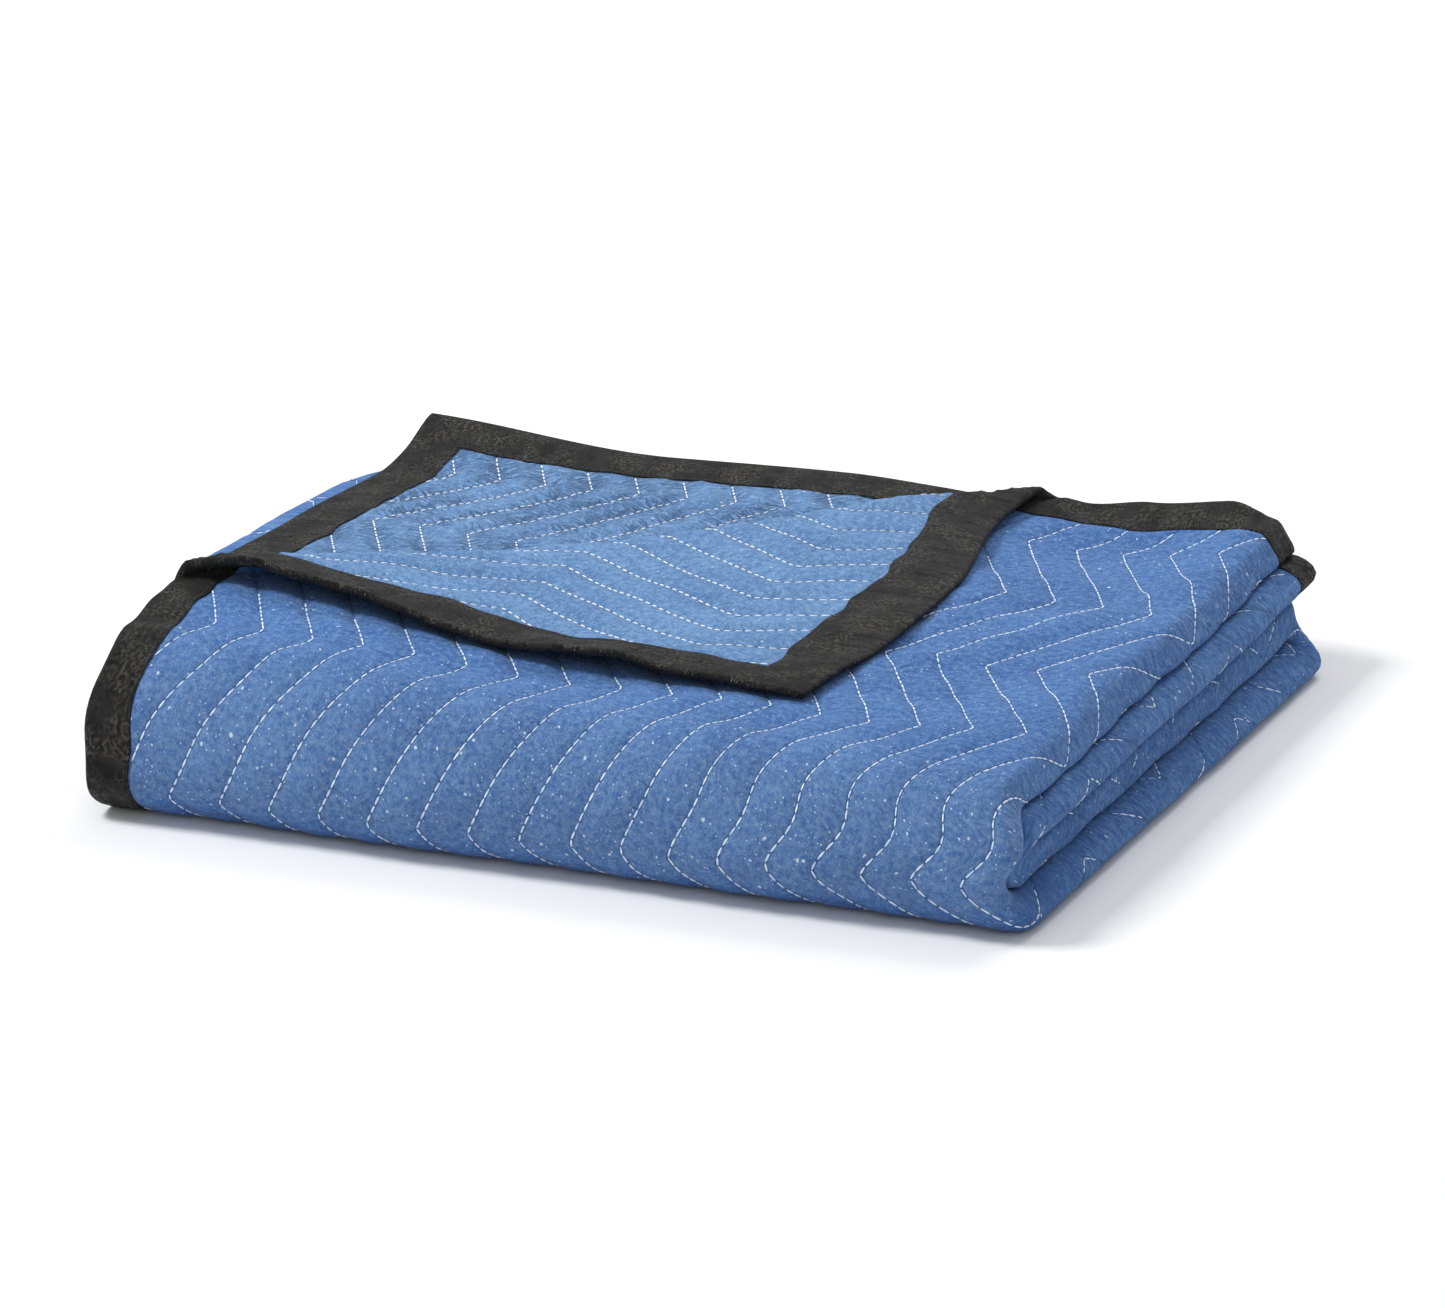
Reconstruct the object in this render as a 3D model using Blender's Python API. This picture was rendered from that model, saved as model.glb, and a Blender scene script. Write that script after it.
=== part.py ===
"""A quilted moving blanket, bound on all four edges, folded in four each way, with one corner turned back.

The blanket is cut flat, as a slab in cloth coordinates: u runs along its 80 inch side, v along its 72 inch
side, and w through its thickness, with the dark face at +w. It is cut across wherever it folds, and each
point is then folded: the corner is turned back, the cloth is folded in four along X, the strip that this
makes is folded in four along Y, and the pile settles unevenly. It lies on Z = 0, with its round fold at
the front (-Y) and its bound edges at the left (-X) and the back (+Y).
"""

import math

import bmesh
import bpy
from mathutils import Vector

MM = 0.001

# Driving dimensions
PILE_LENGTH = 510 * MM  # folded size along X, a quarter of the 80 inch side
PILE_DEPTH = 466 * MM  # folded size along Y, a quarter of the 72 inch side
PITCH = 4.8 * MM  # from one layer of cloth to the next
PANEL_HALF = 2.1 * MM  # half the thickness of the quilted cloth
LAYERS_IN_STRIP = 4
PILE_CENTRE = (-4.4 * MM, 0.9 * MM)  # of the settled pile, which becomes X = 0 and Y = 0

# Binding: a tape folded round the edge of the quilted cloth
BINDING_WIDTH = 25 * MM
TAPE = 0.7 * MM
CLEARANCE = 0.35 * MM
EDGE_HALF = PANEL_HALF - TAPE - CLEARANCE  # the cloth is pressed this thin inside the binding
SHOULDER = 1.4 * MM  # the cloth swells back to full thickness over this width

# Quilting: rows of zigzag stitching that run along v
ROW_PITCH = 27.8 * MM
FIRST_ROW = 17 * MM  # where the first row is nearest the edge u = 0
ZIGZAG_REACH = 55 * MM
ZIGZAG_STEP = 110 * MM  # along v, from one turn of the zigzag to the next
FIRST_TURN = 60 * MM
QUILT_DIP = 0.8 * MM  # how deep a row draws each side of the cloth in

# The turned corner: the fold line's ends, measured from the corner along v and along u
TURN_V = 364 * MM
TURN_U = 360 * MM
TURN_RADIUS_LEFT = 9 * MM  # the roll of the fold is loose at the left edge
TURN_RADIUS_BACK = 7 * MM
TURN_SETTLE = 45 * MM  # the flap comes down onto the pile over about this distance
TURN_GAP = 1 * MM  # left under the flap once it is down
TURN_STEPS = 6

# Steps round each fold
STEPS_OUTER_SIDE = 6
STEPS_INNER_SIDE = 4
STEPS_OUTER_FRONT = 13
STEPS_INNER_FRONT = 6
STEPS_BACK = 6
CELLS_ACROSS = 4  # cells along X in each pass of the cloth
CELLS_DEEP = 5  # cells along Y in each pass of the strip

# Worked out from those above
STRIP = LAYERS_IN_STRIP * PITCH
PILE_HEIGHT = 4 * STRIP
LEFT = -PILE_LENGTH / 2
RIGHT = PILE_LENGTH / 2
FRONT = -PILE_DEPTH / 2
BACK = PILE_DEPTH / 2
OUTER_SIDE_RADIUS = 1.5 * PITCH
INNER_SIDE_RADIUS = 0.5 * PITCH
SIDE_CENTRE = RIGHT - OUTER_SIDE_RADIUS - PANEL_HALF
LEFT_CENTRE = LEFT + INNER_SIDE_RADIUS + PANEL_HALF
FRONT_CENTRE = FRONT + 2 * STRIP - (PITCH / 2 - PANEL_HALF)
BACK_CENTRE = BACK - STRIP + (PITCH / 2 - PANEL_HALF)

# Lengths of cloth, in order along u: pass 1 (on top), the outer fold at the right, pass 4 (lowest), the fold
# at the left, pass 3, the inner fold at the right, pass 2
U_RUNS = (
    SIDE_CENTRE - LEFT,
    math.pi * OUTER_SIDE_RADIUS,
    SIDE_CENTRE - LEFT_CENTRE,
    math.pi * INNER_SIDE_RADIUS,
    SIDE_CENTRE - LEFT_CENTRE,
    math.pi * INNER_SIDE_RADIUS,
    SIDE_CENTRE - LEFT,
)
# The same along v, measured on the cloth's outermost layer: the strip's top pass, the outer fold at the
# front, the bottom pass, the fold at the back, the third pass, the inner fold at the front, the second pass
V_RUNS = (
    BACK - FRONT_CENTRE,
    math.pi * (2 * STRIP - PITCH / 2),
    BACK_CENTRE - FRONT_CENTRE,
    math.pi * (STRIP - PITCH / 2),
    BACK_CENTRE - FRONT_CENTRE,
    math.pi * PITCH / 2,
    BACK - FRONT_CENTRE,
)
U_STARTS = tuple(sum(U_RUNS[:i]) for i in range(len(U_RUNS) + 1))
V_STARTS = tuple(sum(V_RUNS[:i]) for i in range(len(V_RUNS) + 1))
CLOTH_LENGTH = U_STARTS[-1]
CLOTH_WIDTH = V_STARTS[-1]

FACE_BLUE = (0.060, 0.165, 0.440, 1)
BINDING_BLACK = (0.012, 0.012, 0.013, 1)


def smooth_step(value, low, high):
    """0 below low, 1 above high, and a smooth rise between them."""
    share = min(1.0, max(0.0, (value - low) / (high - low)))
    return share * share * (3 - 2 * share)


def bump(value, centre, reach):
    """1 at the centre, falling smoothly to 0 at the reach on either side."""
    return 1 - smooth_step(abs(value - centre), 0, reach)


# The turned corner


def turn_axes():
    """The unit vector from the pile to the corner across the fold line, and the one along the line."""
    across = Vector((-TURN_V, -TURN_U, 0)).normalized()
    return across, Vector((-across.y, across.x, 0))


def turn_place(u, v):
    """How far a point of the cloth lies beyond the start of the roll, and the roll's radius there."""
    across, line = turn_axes()
    foot = Vector((u, v - TURN_V, 0))
    share = min(1.0, max(0.0, foot.dot(line) / math.hypot(TURN_U, TURN_V)))
    radius = TURN_RADIUS_LEFT + (TURN_RADIUS_BACK - TURN_RADIUS_LEFT) * share
    return foot.dot(across) + math.pi * radius / 2, radius


def turn_corner(u, v, w):
    """Rolls the corner at u = v = 0 over onto the face of the cloth."""
    beyond, radius = turn_place(u, v)
    if beyond <= 0:
        return u, v, w
    across, _ = turn_axes()
    angle = min(math.pi, beyond / radius)
    past = max(0.0, beyond - math.pi * radius)
    moved = (radius - w) * math.sin(angle) - past - beyond
    rise = radius - (radius - w) * math.cos(angle)
    if past > 0:
        rest = PITCH + TURN_GAP
        rise = rest - w + (2 * radius - rest) * math.exp(-past / TURN_SETTLE)
    return u + across.x * moved, v + across.y * moved, rise


# The folds


def fold_across(u, w):
    """(x, depth below the strip's top) of a point of the cloth, once it is folded in four along X."""
    run = next((i for i in range(len(U_RUNS)) if u < U_STARTS[i + 1]), len(U_RUNS) - 1)
    along = u - U_STARTS[run]
    angle = math.pi * along / U_RUNS[run]
    if run == 0:
        return LEFT + along, PITCH / 2 - w
    if run == 1:
        radius = OUTER_SIDE_RADIUS + w
        return SIDE_CENTRE + radius * math.sin(angle), 2 * PITCH - radius * math.cos(angle)
    if run == 2:
        return SIDE_CENTRE - along, 3.5 * PITCH + w
    if run == 3:
        radius = INNER_SIDE_RADIUS + w
        return LEFT_CENTRE - radius * math.sin(angle), 3 * PITCH + radius * math.cos(angle)
    if run == 4:
        return LEFT_CENTRE + along, 2.5 * PITCH - w
    if run == 5:
        radius = INNER_SIDE_RADIUS - w
        return SIDE_CENTRE + radius * math.sin(angle), 2 * PITCH + radius * math.cos(angle)
    return SIDE_CENTRE - along, 1.5 * PITCH + w


def fold_deep(v, depth):
    """(y, z) of a point at that depth in the strip, once the strip is folded in four along Y."""
    run = next((i for i in range(len(V_RUNS)) if v < V_STARTS[i + 1]), len(V_RUNS) - 1)
    along = v - V_STARTS[run]
    angle = math.pi * along / V_RUNS[run]
    if run == 0:
        return BACK - along, 4 * STRIP - depth
    if run == 1:
        radius = 2 * STRIP - depth
        return FRONT_CENTRE - radius * math.sin(angle), 2 * STRIP + radius * math.cos(angle)
    if run == 2:
        return FRONT_CENTRE + along, depth
    if run == 3:
        radius = STRIP - depth
        return BACK_CENTRE + radius * math.sin(angle), STRIP - radius * math.cos(angle)
    if run == 4:
        return BACK_CENTRE - along, 2 * STRIP - depth
    if run == 5:
        return FRONT_CENTRE - depth * math.sin(angle), 2 * STRIP - depth * math.cos(angle)
    return FRONT_CENTRE + along, 2 * STRIP + depth


def settle(x, y, z):
    """The pile's unevenness: each step slides or stretches whole levels, so no two layers can cross."""
    high = z / PILE_HEIGHT
    front = 1 - smooth_step(y, FRONT, FRONT + 190 * MM)
    back = smooth_step(y, 0, BACK)
    left = 1 - smooth_step(x, LEFT, 0)
    right = smooth_step(x, 0, RIGHT)
    # The front fold sags: its foot comes forward and its top leans back.
    y += front * (24 * MM * (high - 0.5) - 5 * MM)
    # The top has slid towards the back, and the lowest fold at the back is tucked in.
    y += back * (14 * MM * high - 6 * MM)
    y += back * 4 * MM * math.sin(2 * math.pi * z / (2.6 * STRIP) + 2.0)
    y += back * 3 * MM * math.sin(x / (70 * MM))
    # The upper layers have slid to the left, further at the back, and the left edges wander a little.
    x -= high * (3 * MM + 12 * MM * smooth_step(y, FRONT, 0))
    x -= left * high * 5 * MM
    x -= left * 3 * MM * math.sin(2 * math.pi * z / (2.6 * STRIP) + 1.1)
    # At the right the folds stand out more towards the back, and the top one is drawn in at the front.
    x += right * 7 * MM * smooth_step(y, FRONT, BACK)
    x += right * 5 * MM * math.sin(2 * math.pi * z / (2.2 * STRIP) + 0.6)
    x -= right * 10 * MM * high * bump(y, FRONT, 150 * MM)
    # The pile is fullest at the left and in the back right corner, with a soft hollow between the turned
    # corner and the right side, and is pressed a little at the front right.
    height = 1.02
    height += 0.09 * (1 - smooth_step(x, LEFT + 40 * MM, 120 * MM)) * bump(y, FRONT + 80 * MM, 200 * MM)
    height += 0.08 * left * back
    height -= 0.10 * bump(x, 145 * MM, 85 * MM) * bump(y, 125 * MM, 115 * MM)
    height += 0.10 * bump(x, 240 * MM, 130 * MM) * bump(y, 225 * MM, 130 * MM)
    height -= 0.06 * smooth_step(x, 60 * MM, RIGHT) * (1 - smooth_step(y, FRONT, 40 * MM))
    height += 0.025 * math.sin(x / (95 * MM) + 1.0) * math.sin(y / (80 * MM))
    return x - PILE_CENTRE[0], y - PILE_CENTRE[1], z * height


def folded(point):
    """The place of a point of the flat cloth once it is folded, with the pile's foot at Z = 0."""
    u, v, w = turn_corner(point.x, point.y, point.z)
    x, depth = fold_across(u, w)
    y, z = fold_deep(v, depth)
    return Vector(settle(x, y, z - (PITCH / 2 - PANEL_HALF)))


# Where the cloth is cut across, so that it bends there


def stations(runs, starts, cells, steps):
    """Places along one side of the cloth: even cells in its flat passes, and even steps round its folds."""
    places = []
    for i, run in enumerate(runs):
        count = steps[i] if i % 2 else cells
        places += [starts[i] + run * k / count for k in range(count)]
    return places[1:]


def cut(mesh, place, normal, wanted=lambda face: True):
    """Cuts the wanted faces of the flat cloth along a line, given by a place on it and its normal."""
    faces = [face for face in mesh.faces if wanted(face)]
    edges = {edge for face in faces for edge in face.edges}
    verts = {vert for face in faces for vert in face.verts}
    bmesh.ops.bisect_plane(
        mesh, geom=[*verts, *edges, *faces], plane_co=place, plane_no=normal, dist=0.02 * MM
    )


def cut_at_folds(mesh):
    """Cuts the flat cloth across at every step of every fold."""
    steps_u = (0, STEPS_OUTER_SIDE, 0, STEPS_INNER_SIDE, 0, STEPS_INNER_SIDE, 0)
    steps_v = (0, STEPS_OUTER_FRONT, 0, STEPS_BACK, 0, STEPS_INNER_FRONT, 0)
    for u in stations(U_RUNS, U_STARTS, CELLS_ACROSS, steps_u):
        cut(mesh, (u, 0, 0), (1, 0, 0))
    for v in stations(V_RUNS, V_STARTS, CELLS_DEEP, steps_v):
        cut(mesh, (0, v, 0), (0, 1, 0))


def in_top_pass(face):
    """Whether a face of the flat cloth is in the layer that lies on top of the pile."""
    centre = face.calc_center_median()
    return centre.x < U_RUNS[0] and centre.y < V_RUNS[0]


def cut_at_turn(mesh):
    """Cuts the top layer along the roll of the turned corner, and the flap along lines parallel to it."""
    across, _ = turn_axes()
    widest = math.pi * TURN_RADIUS_LEFT / 2
    narrowest = math.pi * TURN_RADIUS_BACK / 2
    left_end = Vector((0, TURN_V, 0))
    back_end = Vector((TURN_U, 0, 0))
    for step in range(TURN_STEPS + 1):
        share = 2 * step / TURN_STEPS - 1
        start = left_end + across * widest * share
        end = back_end + across * narrowest * share
        way = end - start
        cut(mesh, start, (-way.y, way.x, 0), in_top_pass)
    for step in range(5):
        past = TURN_SETTLE * (0.5 + step)
        cut(mesh, left_end + across * (widest + past), across, in_top_pass)


# Quilting


def row_shift(v):
    """How far the zigzag has carried each row along u at this v."""
    turns = (v - FIRST_TURN) / ZIGZAG_STEP
    return ZIGZAG_REACH * (1 - abs((turns % 2) - 1))


def under_flap(u, v):
    """Whether the turned corner covers the top layer there, well inside the flap's edges."""
    across, _ = turn_axes()
    place = Vector((u, v, 0))
    beyond = (place - Vector((0, TURN_V, 0))).dot(across)
    mirrored = place - across * 2 * beyond
    return beyond < 0 and min(mirrored.x, mirrored.y) > 12 * MM


def quilted(u, v):
    """Whether the cloth shows there, clear of its binding: on the top layer, the flap and the front fold,
    and on the second layer behind the turned corner."""
    inside = BINDING_WIDTH + SHOULDER + 1 * MM
    if not inside < v < V_STARTS[2] - 6 * MM:
        return False
    if u < U_RUNS[0] + 1 * MM:
        return u > inside and not under_flap(u, v)
    beyond, radius = turn_place(CLOTH_LENGTH - u, v)
    return U_STARTS[6] < u < CLOTH_LENGTH - inside and v < V_RUNS[0] and beyond > 2 * radius


def quilt_face(face):
    """Whether a face of the flat cloth is one that the quilting cuts."""
    centre = face.calc_center_median()
    return quilted(centre.x, centre.y)


def cut_at_quilting(mesh):
    """Cuts the showing cloth along each zigzag row and along the crown between each two rows."""
    turns = range(-1, int(V_STARTS[2] / ZIGZAG_STEP) + 1)
    edges = [FIRST_TURN + turn * ZIGZAG_STEP for turn in turns]
    top_rows = range(-4, int(2 * U_RUNS[0] / ROW_PITCH) + 2)
    second_rows = range(int(2 * (CLOTH_LENGTH - TURN_U) / ROW_PITCH) - 4, int(2 * CLOTH_LENGTH / ROW_PITCH))
    for v in edges:
        cut(mesh, (0, v, 0), (0, 1, 0), quilt_face)
    for low in edges:
        high = low + ZIGZAG_STEP
        start = row_shift(low + 1e-6)
        slope = (row_shift(high - 1e-6) - start) / ZIGZAG_STEP

        def in_band(face, low=low, high=high):
            centre = face.calc_center_median()
            return low < centre.y < high and quilted(centre.x, centre.y)

        for half_row in [*top_rows, *second_rows]:
            cut(mesh, (FIRST_ROW + half_row * ROW_PITCH / 2 + start, low, 0), (1, -slope, 0), in_band)


def half_thickness(u, v):
    """Half the cloth's thickness: full in the field, drawn in at the rows, and pressed thin in the binding."""
    edge = min(u, v, CLOTH_LENGTH - u, CLOTH_WIDTH - v)
    if edge < BINDING_WIDTH + CLEARANCE + 0.1 * MM:
        return EDGE_HALF
    if not quilted(u, v):
        return PANEL_HALF
    rows = (u - FIRST_ROW - row_shift(v)) / ROW_PITCH
    off_row = abs(rows - round(rows)) * 2
    return PANEL_HALF - QUILT_DIP * (1 - off_row) ** 1.5


# Pieces


def add_piece(name, mesh, material, collection):
    """Folds a flat mesh, whose faces all point outwards, and adds it to the scene as a named object."""
    for vert in mesh.verts:
        vert.co = folded(vert.co)
    # The cloth's v runs towards -Y, so folding turns each face inside out.
    bmesh.ops.reverse_faces(mesh, faces=mesh.faces)
    data = bpy.data.meshes.new(name)
    mesh.to_mesh(data)
    mesh.free()
    data.materials.append(material)
    data.shade_smooth()
    piece = bpy.data.objects.new(name, data)
    collection.objects.link(piece)
    return piece


def flat_box(low, high):
    """A bmesh box between two corners."""
    mesh = bmesh.new()
    bmesh.ops.create_cube(mesh, size=1)
    low, high = Vector(low), Vector(high)
    for vert in mesh.verts:
        vert.co = Vector(a + (b - a) * (c + 0.5) for a, b, c in zip(low, high, vert.co))
    return mesh


def quilted_panel(material, collection):
    """The quilted cloth, one solid from edge to edge of the blanket."""
    inset = TAPE + CLEARANCE
    mesh = flat_box((inset, inset, -1), (CLOTH_LENGTH - inset, CLOTH_WIDTH - inset, 1))
    cut_at_folds(mesh)
    for reach in (BINDING_WIDTH + CLEARANCE, BINDING_WIDTH + CLEARANCE + SHOULDER):
        for side in (reach, CLOTH_LENGTH - reach):
            cut(mesh, (side, 0, 0), (1, 0, 0))
        for side in (reach, CLOTH_WIDTH - reach):
            cut(mesh, (0, side, 0), (0, 1, 0))
    cut_at_quilting(mesh)
    cut_at_turn(mesh)
    for vert in mesh.verts:
        vert.co.z = math.copysign(half_thickness(vert.co.x, vert.co.y), vert.co.z)
    return add_piece("quilted_panel", mesh, material, collection)


def channel(length):
    """A tape folded to a channel round the edge y = 0 of the cloth, along X from 0 to length."""
    profile = (
        (0, -PANEL_HALF),
        (BINDING_WIDTH, -PANEL_HALF),
        (BINDING_WIDTH, -PANEL_HALF + TAPE),
        (TAPE, -PANEL_HALF + TAPE),
        (TAPE, PANEL_HALF - TAPE),
        (BINDING_WIDTH, PANEL_HALF - TAPE),
        (BINDING_WIDTH, PANEL_HALF),
        (0, PANEL_HALF),
    )
    mesh = bmesh.new()
    end = mesh.faces.new([mesh.verts.new((0, y, z)) for y, z in profile])
    made = bmesh.ops.extrude_face_region(mesh, geom=[end])
    moved = [item for item in made["geom"] if isinstance(item, bmesh.types.BMVert)]
    bmesh.ops.translate(mesh, verts=moved, vec=(length, 0, 0))
    bmesh.ops.recalc_face_normals(mesh, faces=mesh.faces)
    return mesh


def mitre(mesh, length):
    """Cuts both ends of a channel at 45 degrees, a little short of the neighbouring channel."""
    for place, normal in (
        ((CLEARANCE * 0.75, 0, 0), (-1, 1, 0)),
        ((length - CLEARANCE * 0.75, 0, 0), (1, 1, 0)),
    ):
        found = bmesh.ops.bisect_plane(
            mesh, geom=[*mesh.verts, *mesh.edges, *mesh.faces],
            plane_co=place, plane_no=normal, clear_outer=True,
        )
        rim = [item for item in found["geom_cut"] if isinstance(item, bmesh.types.BMEdge)]
        bmesh.ops.contextual_create(mesh, geom=rim)
    bmesh.ops.recalc_face_normals(mesh, faces=mesh.faces)


def binding(name, along_u, far, material, collection):
    """The tape on one edge of the blanket.

    along_u says which way the edge runs, and far whether it is the edge at the end of the cloth."""
    length = CLOTH_LENGTH if along_u else CLOTH_WIDTH
    depth = CLOTH_WIDTH if along_u else CLOTH_LENGTH
    mesh = channel(length)
    mitre(mesh, length)
    for vert in mesh.verts:
        along, inward, w = vert.co
        inward = depth - inward if far else inward
        vert.co = Vector((along, inward, w) if along_u else (inward, along, w))
    mesh.normal_update()
    bmesh.ops.recalc_face_normals(mesh, faces=mesh.faces)
    cut_at_folds(mesh)
    cut_at_turn(mesh)
    return add_piece(name, mesh, material, collection)


def surface(name, colour, roughness):
    """A material with a Principled BSDF."""
    material = bpy.data.materials.new(name)
    material.use_nodes = True
    shader = material.node_tree.nodes["Principled BSDF"]
    shader.inputs["Base Color"].default_value = colour
    shader.inputs["Roughness"].default_value = roughness
    shader.inputs["Metallic"].default_value = 0
    return material


def main():
    for obj in list(bpy.data.objects):
        bpy.data.objects.remove(obj)
    blanket = bpy.data.collections.new("moving_blanket")
    bpy.context.scene.collection.children.link(blanket)
    quilted_panel(surface("quilted_cloth", FACE_BLUE, 0.95), blanket)
    binding("binding_side_near", False, False, surface("tape_side_near", BINDING_BLACK, 0.7), blanket)
    binding("binding_side_far", False, True, surface("tape_side_far", BINDING_BLACK, 0.7), blanket)
    binding("binding_end_near", True, False, surface("tape_end_near", BINDING_BLACK, 0.7), blanket)
    binding("binding_end_far", True, True, surface("tape_end_far", BINDING_BLACK, 0.7), blanket)


main()
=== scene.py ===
"""The looks of a quilted moving blanket that is folded in four each way, with one corner turned back.

The cloth, its tapes and its thread are laid out flat, in cloth coordinates: u runs along the 80 inch side,
v along the 72 inch side, and w through the thickness, with the dark face at +w. Every point is then folded
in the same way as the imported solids, so each piece stays where the frame has it.
"""

import logging
import math
from collections.abc import Callable, Sequence
from dataclasses import dataclass, field
from enum import Enum
from functools import cached_property

import bmesh
import bpy
import numpy as np
from mathutils import Matrix, Vector


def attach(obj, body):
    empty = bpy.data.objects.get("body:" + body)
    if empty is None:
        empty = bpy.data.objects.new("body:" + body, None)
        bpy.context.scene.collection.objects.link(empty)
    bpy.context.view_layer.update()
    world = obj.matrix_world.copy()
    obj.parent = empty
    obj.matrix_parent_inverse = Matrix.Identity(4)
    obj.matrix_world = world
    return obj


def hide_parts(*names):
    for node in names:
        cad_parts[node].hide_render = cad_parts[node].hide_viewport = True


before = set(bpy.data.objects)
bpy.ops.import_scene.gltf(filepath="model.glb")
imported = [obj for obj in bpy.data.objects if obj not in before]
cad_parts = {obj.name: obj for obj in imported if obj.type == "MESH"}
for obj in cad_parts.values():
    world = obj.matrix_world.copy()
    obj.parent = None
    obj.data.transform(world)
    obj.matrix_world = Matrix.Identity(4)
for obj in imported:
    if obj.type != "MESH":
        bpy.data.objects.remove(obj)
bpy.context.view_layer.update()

MM = 0.001
BODY = "root"
LOG = logging.getLogger("moving_blanket")
Array = np.ndarray
Colour = tuple[float, float, float]
# The u and the v of a path's closely set points.
Path = tuple[Array, Array]
# Says for each u and v whether something is made there.
Choice = Callable[[Array, Array], Array]


def smooth_step(value: Array, low: float, high: float) -> Array:
    """Rises smoothly from 0 at low to 1 at high."""
    share = np.clip((value - low) / (high - low), 0, 1)
    return share * share * (3 - 2 * share)


def bump(value: Array, centre: float, reach: float) -> Array:
    """Is 1 at the centre and falls smoothly to 0 at the reach on either side."""
    return 1 - smooth_step(np.abs(value - centre), 0, reach)


class Side(Enum):
    """The two sides of the cloth."""

    FACE = 1
    REVERSE = -1


class Edge(Enum):
    """The four edges of the blanket, named as the CAD nodes of their tapes."""

    SIDE_NEAR = "binding_side_near"
    SIDE_FAR = "binding_side_far"
    END_NEAR = "binding_end_near"
    END_FAR = "binding_end_far"

    @property
    def runs_along_u(self) -> bool:
        """Whether the edge runs along u."""
        return self in (Edge.END_NEAR, Edge.END_FAR)

    @property
    def far(self) -> bool:
        """Whether the edge is at the end of the cloth."""
        return self in (Edge.SIDE_FAR, Edge.END_FAR)


@dataclass(frozen=True)
class Swell:
    """A place where the pile is fuller, or a hollow where the share is negative.

    Args:
        share: the share of the height that is added in the middle.
        middle: where it is along X and Y.
        reach: how far it reaches from there along X and Y.
        from_left: whether it is full all the way from the left side to the middle.
    """

    share: float
    middle: tuple[float, float]
    reach: tuple[float, float]
    from_left: bool = False

    def at(self, x: Array, y: Array) -> Array:
        """Reads the share at places of the pile."""
        off = x - self.middle[0]
        off = np.maximum(off, 0) if self.from_left else np.abs(off)
        across = 1 - smooth_step(off, 0, self.reach[0])
        return self.share * across * bump(y, self.middle[1], self.reach[1])


@dataclass(frozen=True)
class Ripples:
    """Smooth unevenness that is the same on every run, made of a few crossed waves.

    Args:
        wavelength: from one crest to the next, in metres.
        seed: which of the many patterns.
        waves: how many waves cross.
    """

    wavelength: float
    seed: int
    waves: int = 7

    @cached_property
    def parts(self) -> tuple[Array, Array, Array]:
        """The waves' vectors along u and v, and their phases."""
        draw = np.random.default_rng(self.seed)
        angle = draw.uniform(0, 2 * math.pi, self.waves)
        size = 2 * math.pi / (self.wavelength * draw.uniform(0.7, 1.45, self.waves))
        return np.cos(angle) * size, np.sin(angle) * size, draw.uniform(0, 2 * math.pi, self.waves)

    def at(self, u: Array, v: Array) -> Array:
        """Reads the unevenness, which is mostly between -1 and 1."""
        total = np.zeros(np.broadcast(u, v).shape)
        for along, across, phase in zip(*self.parts):
            total = total + np.sin(u * along + v * across + phase)
        return total * math.sqrt(1.2 / self.waves)


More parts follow.
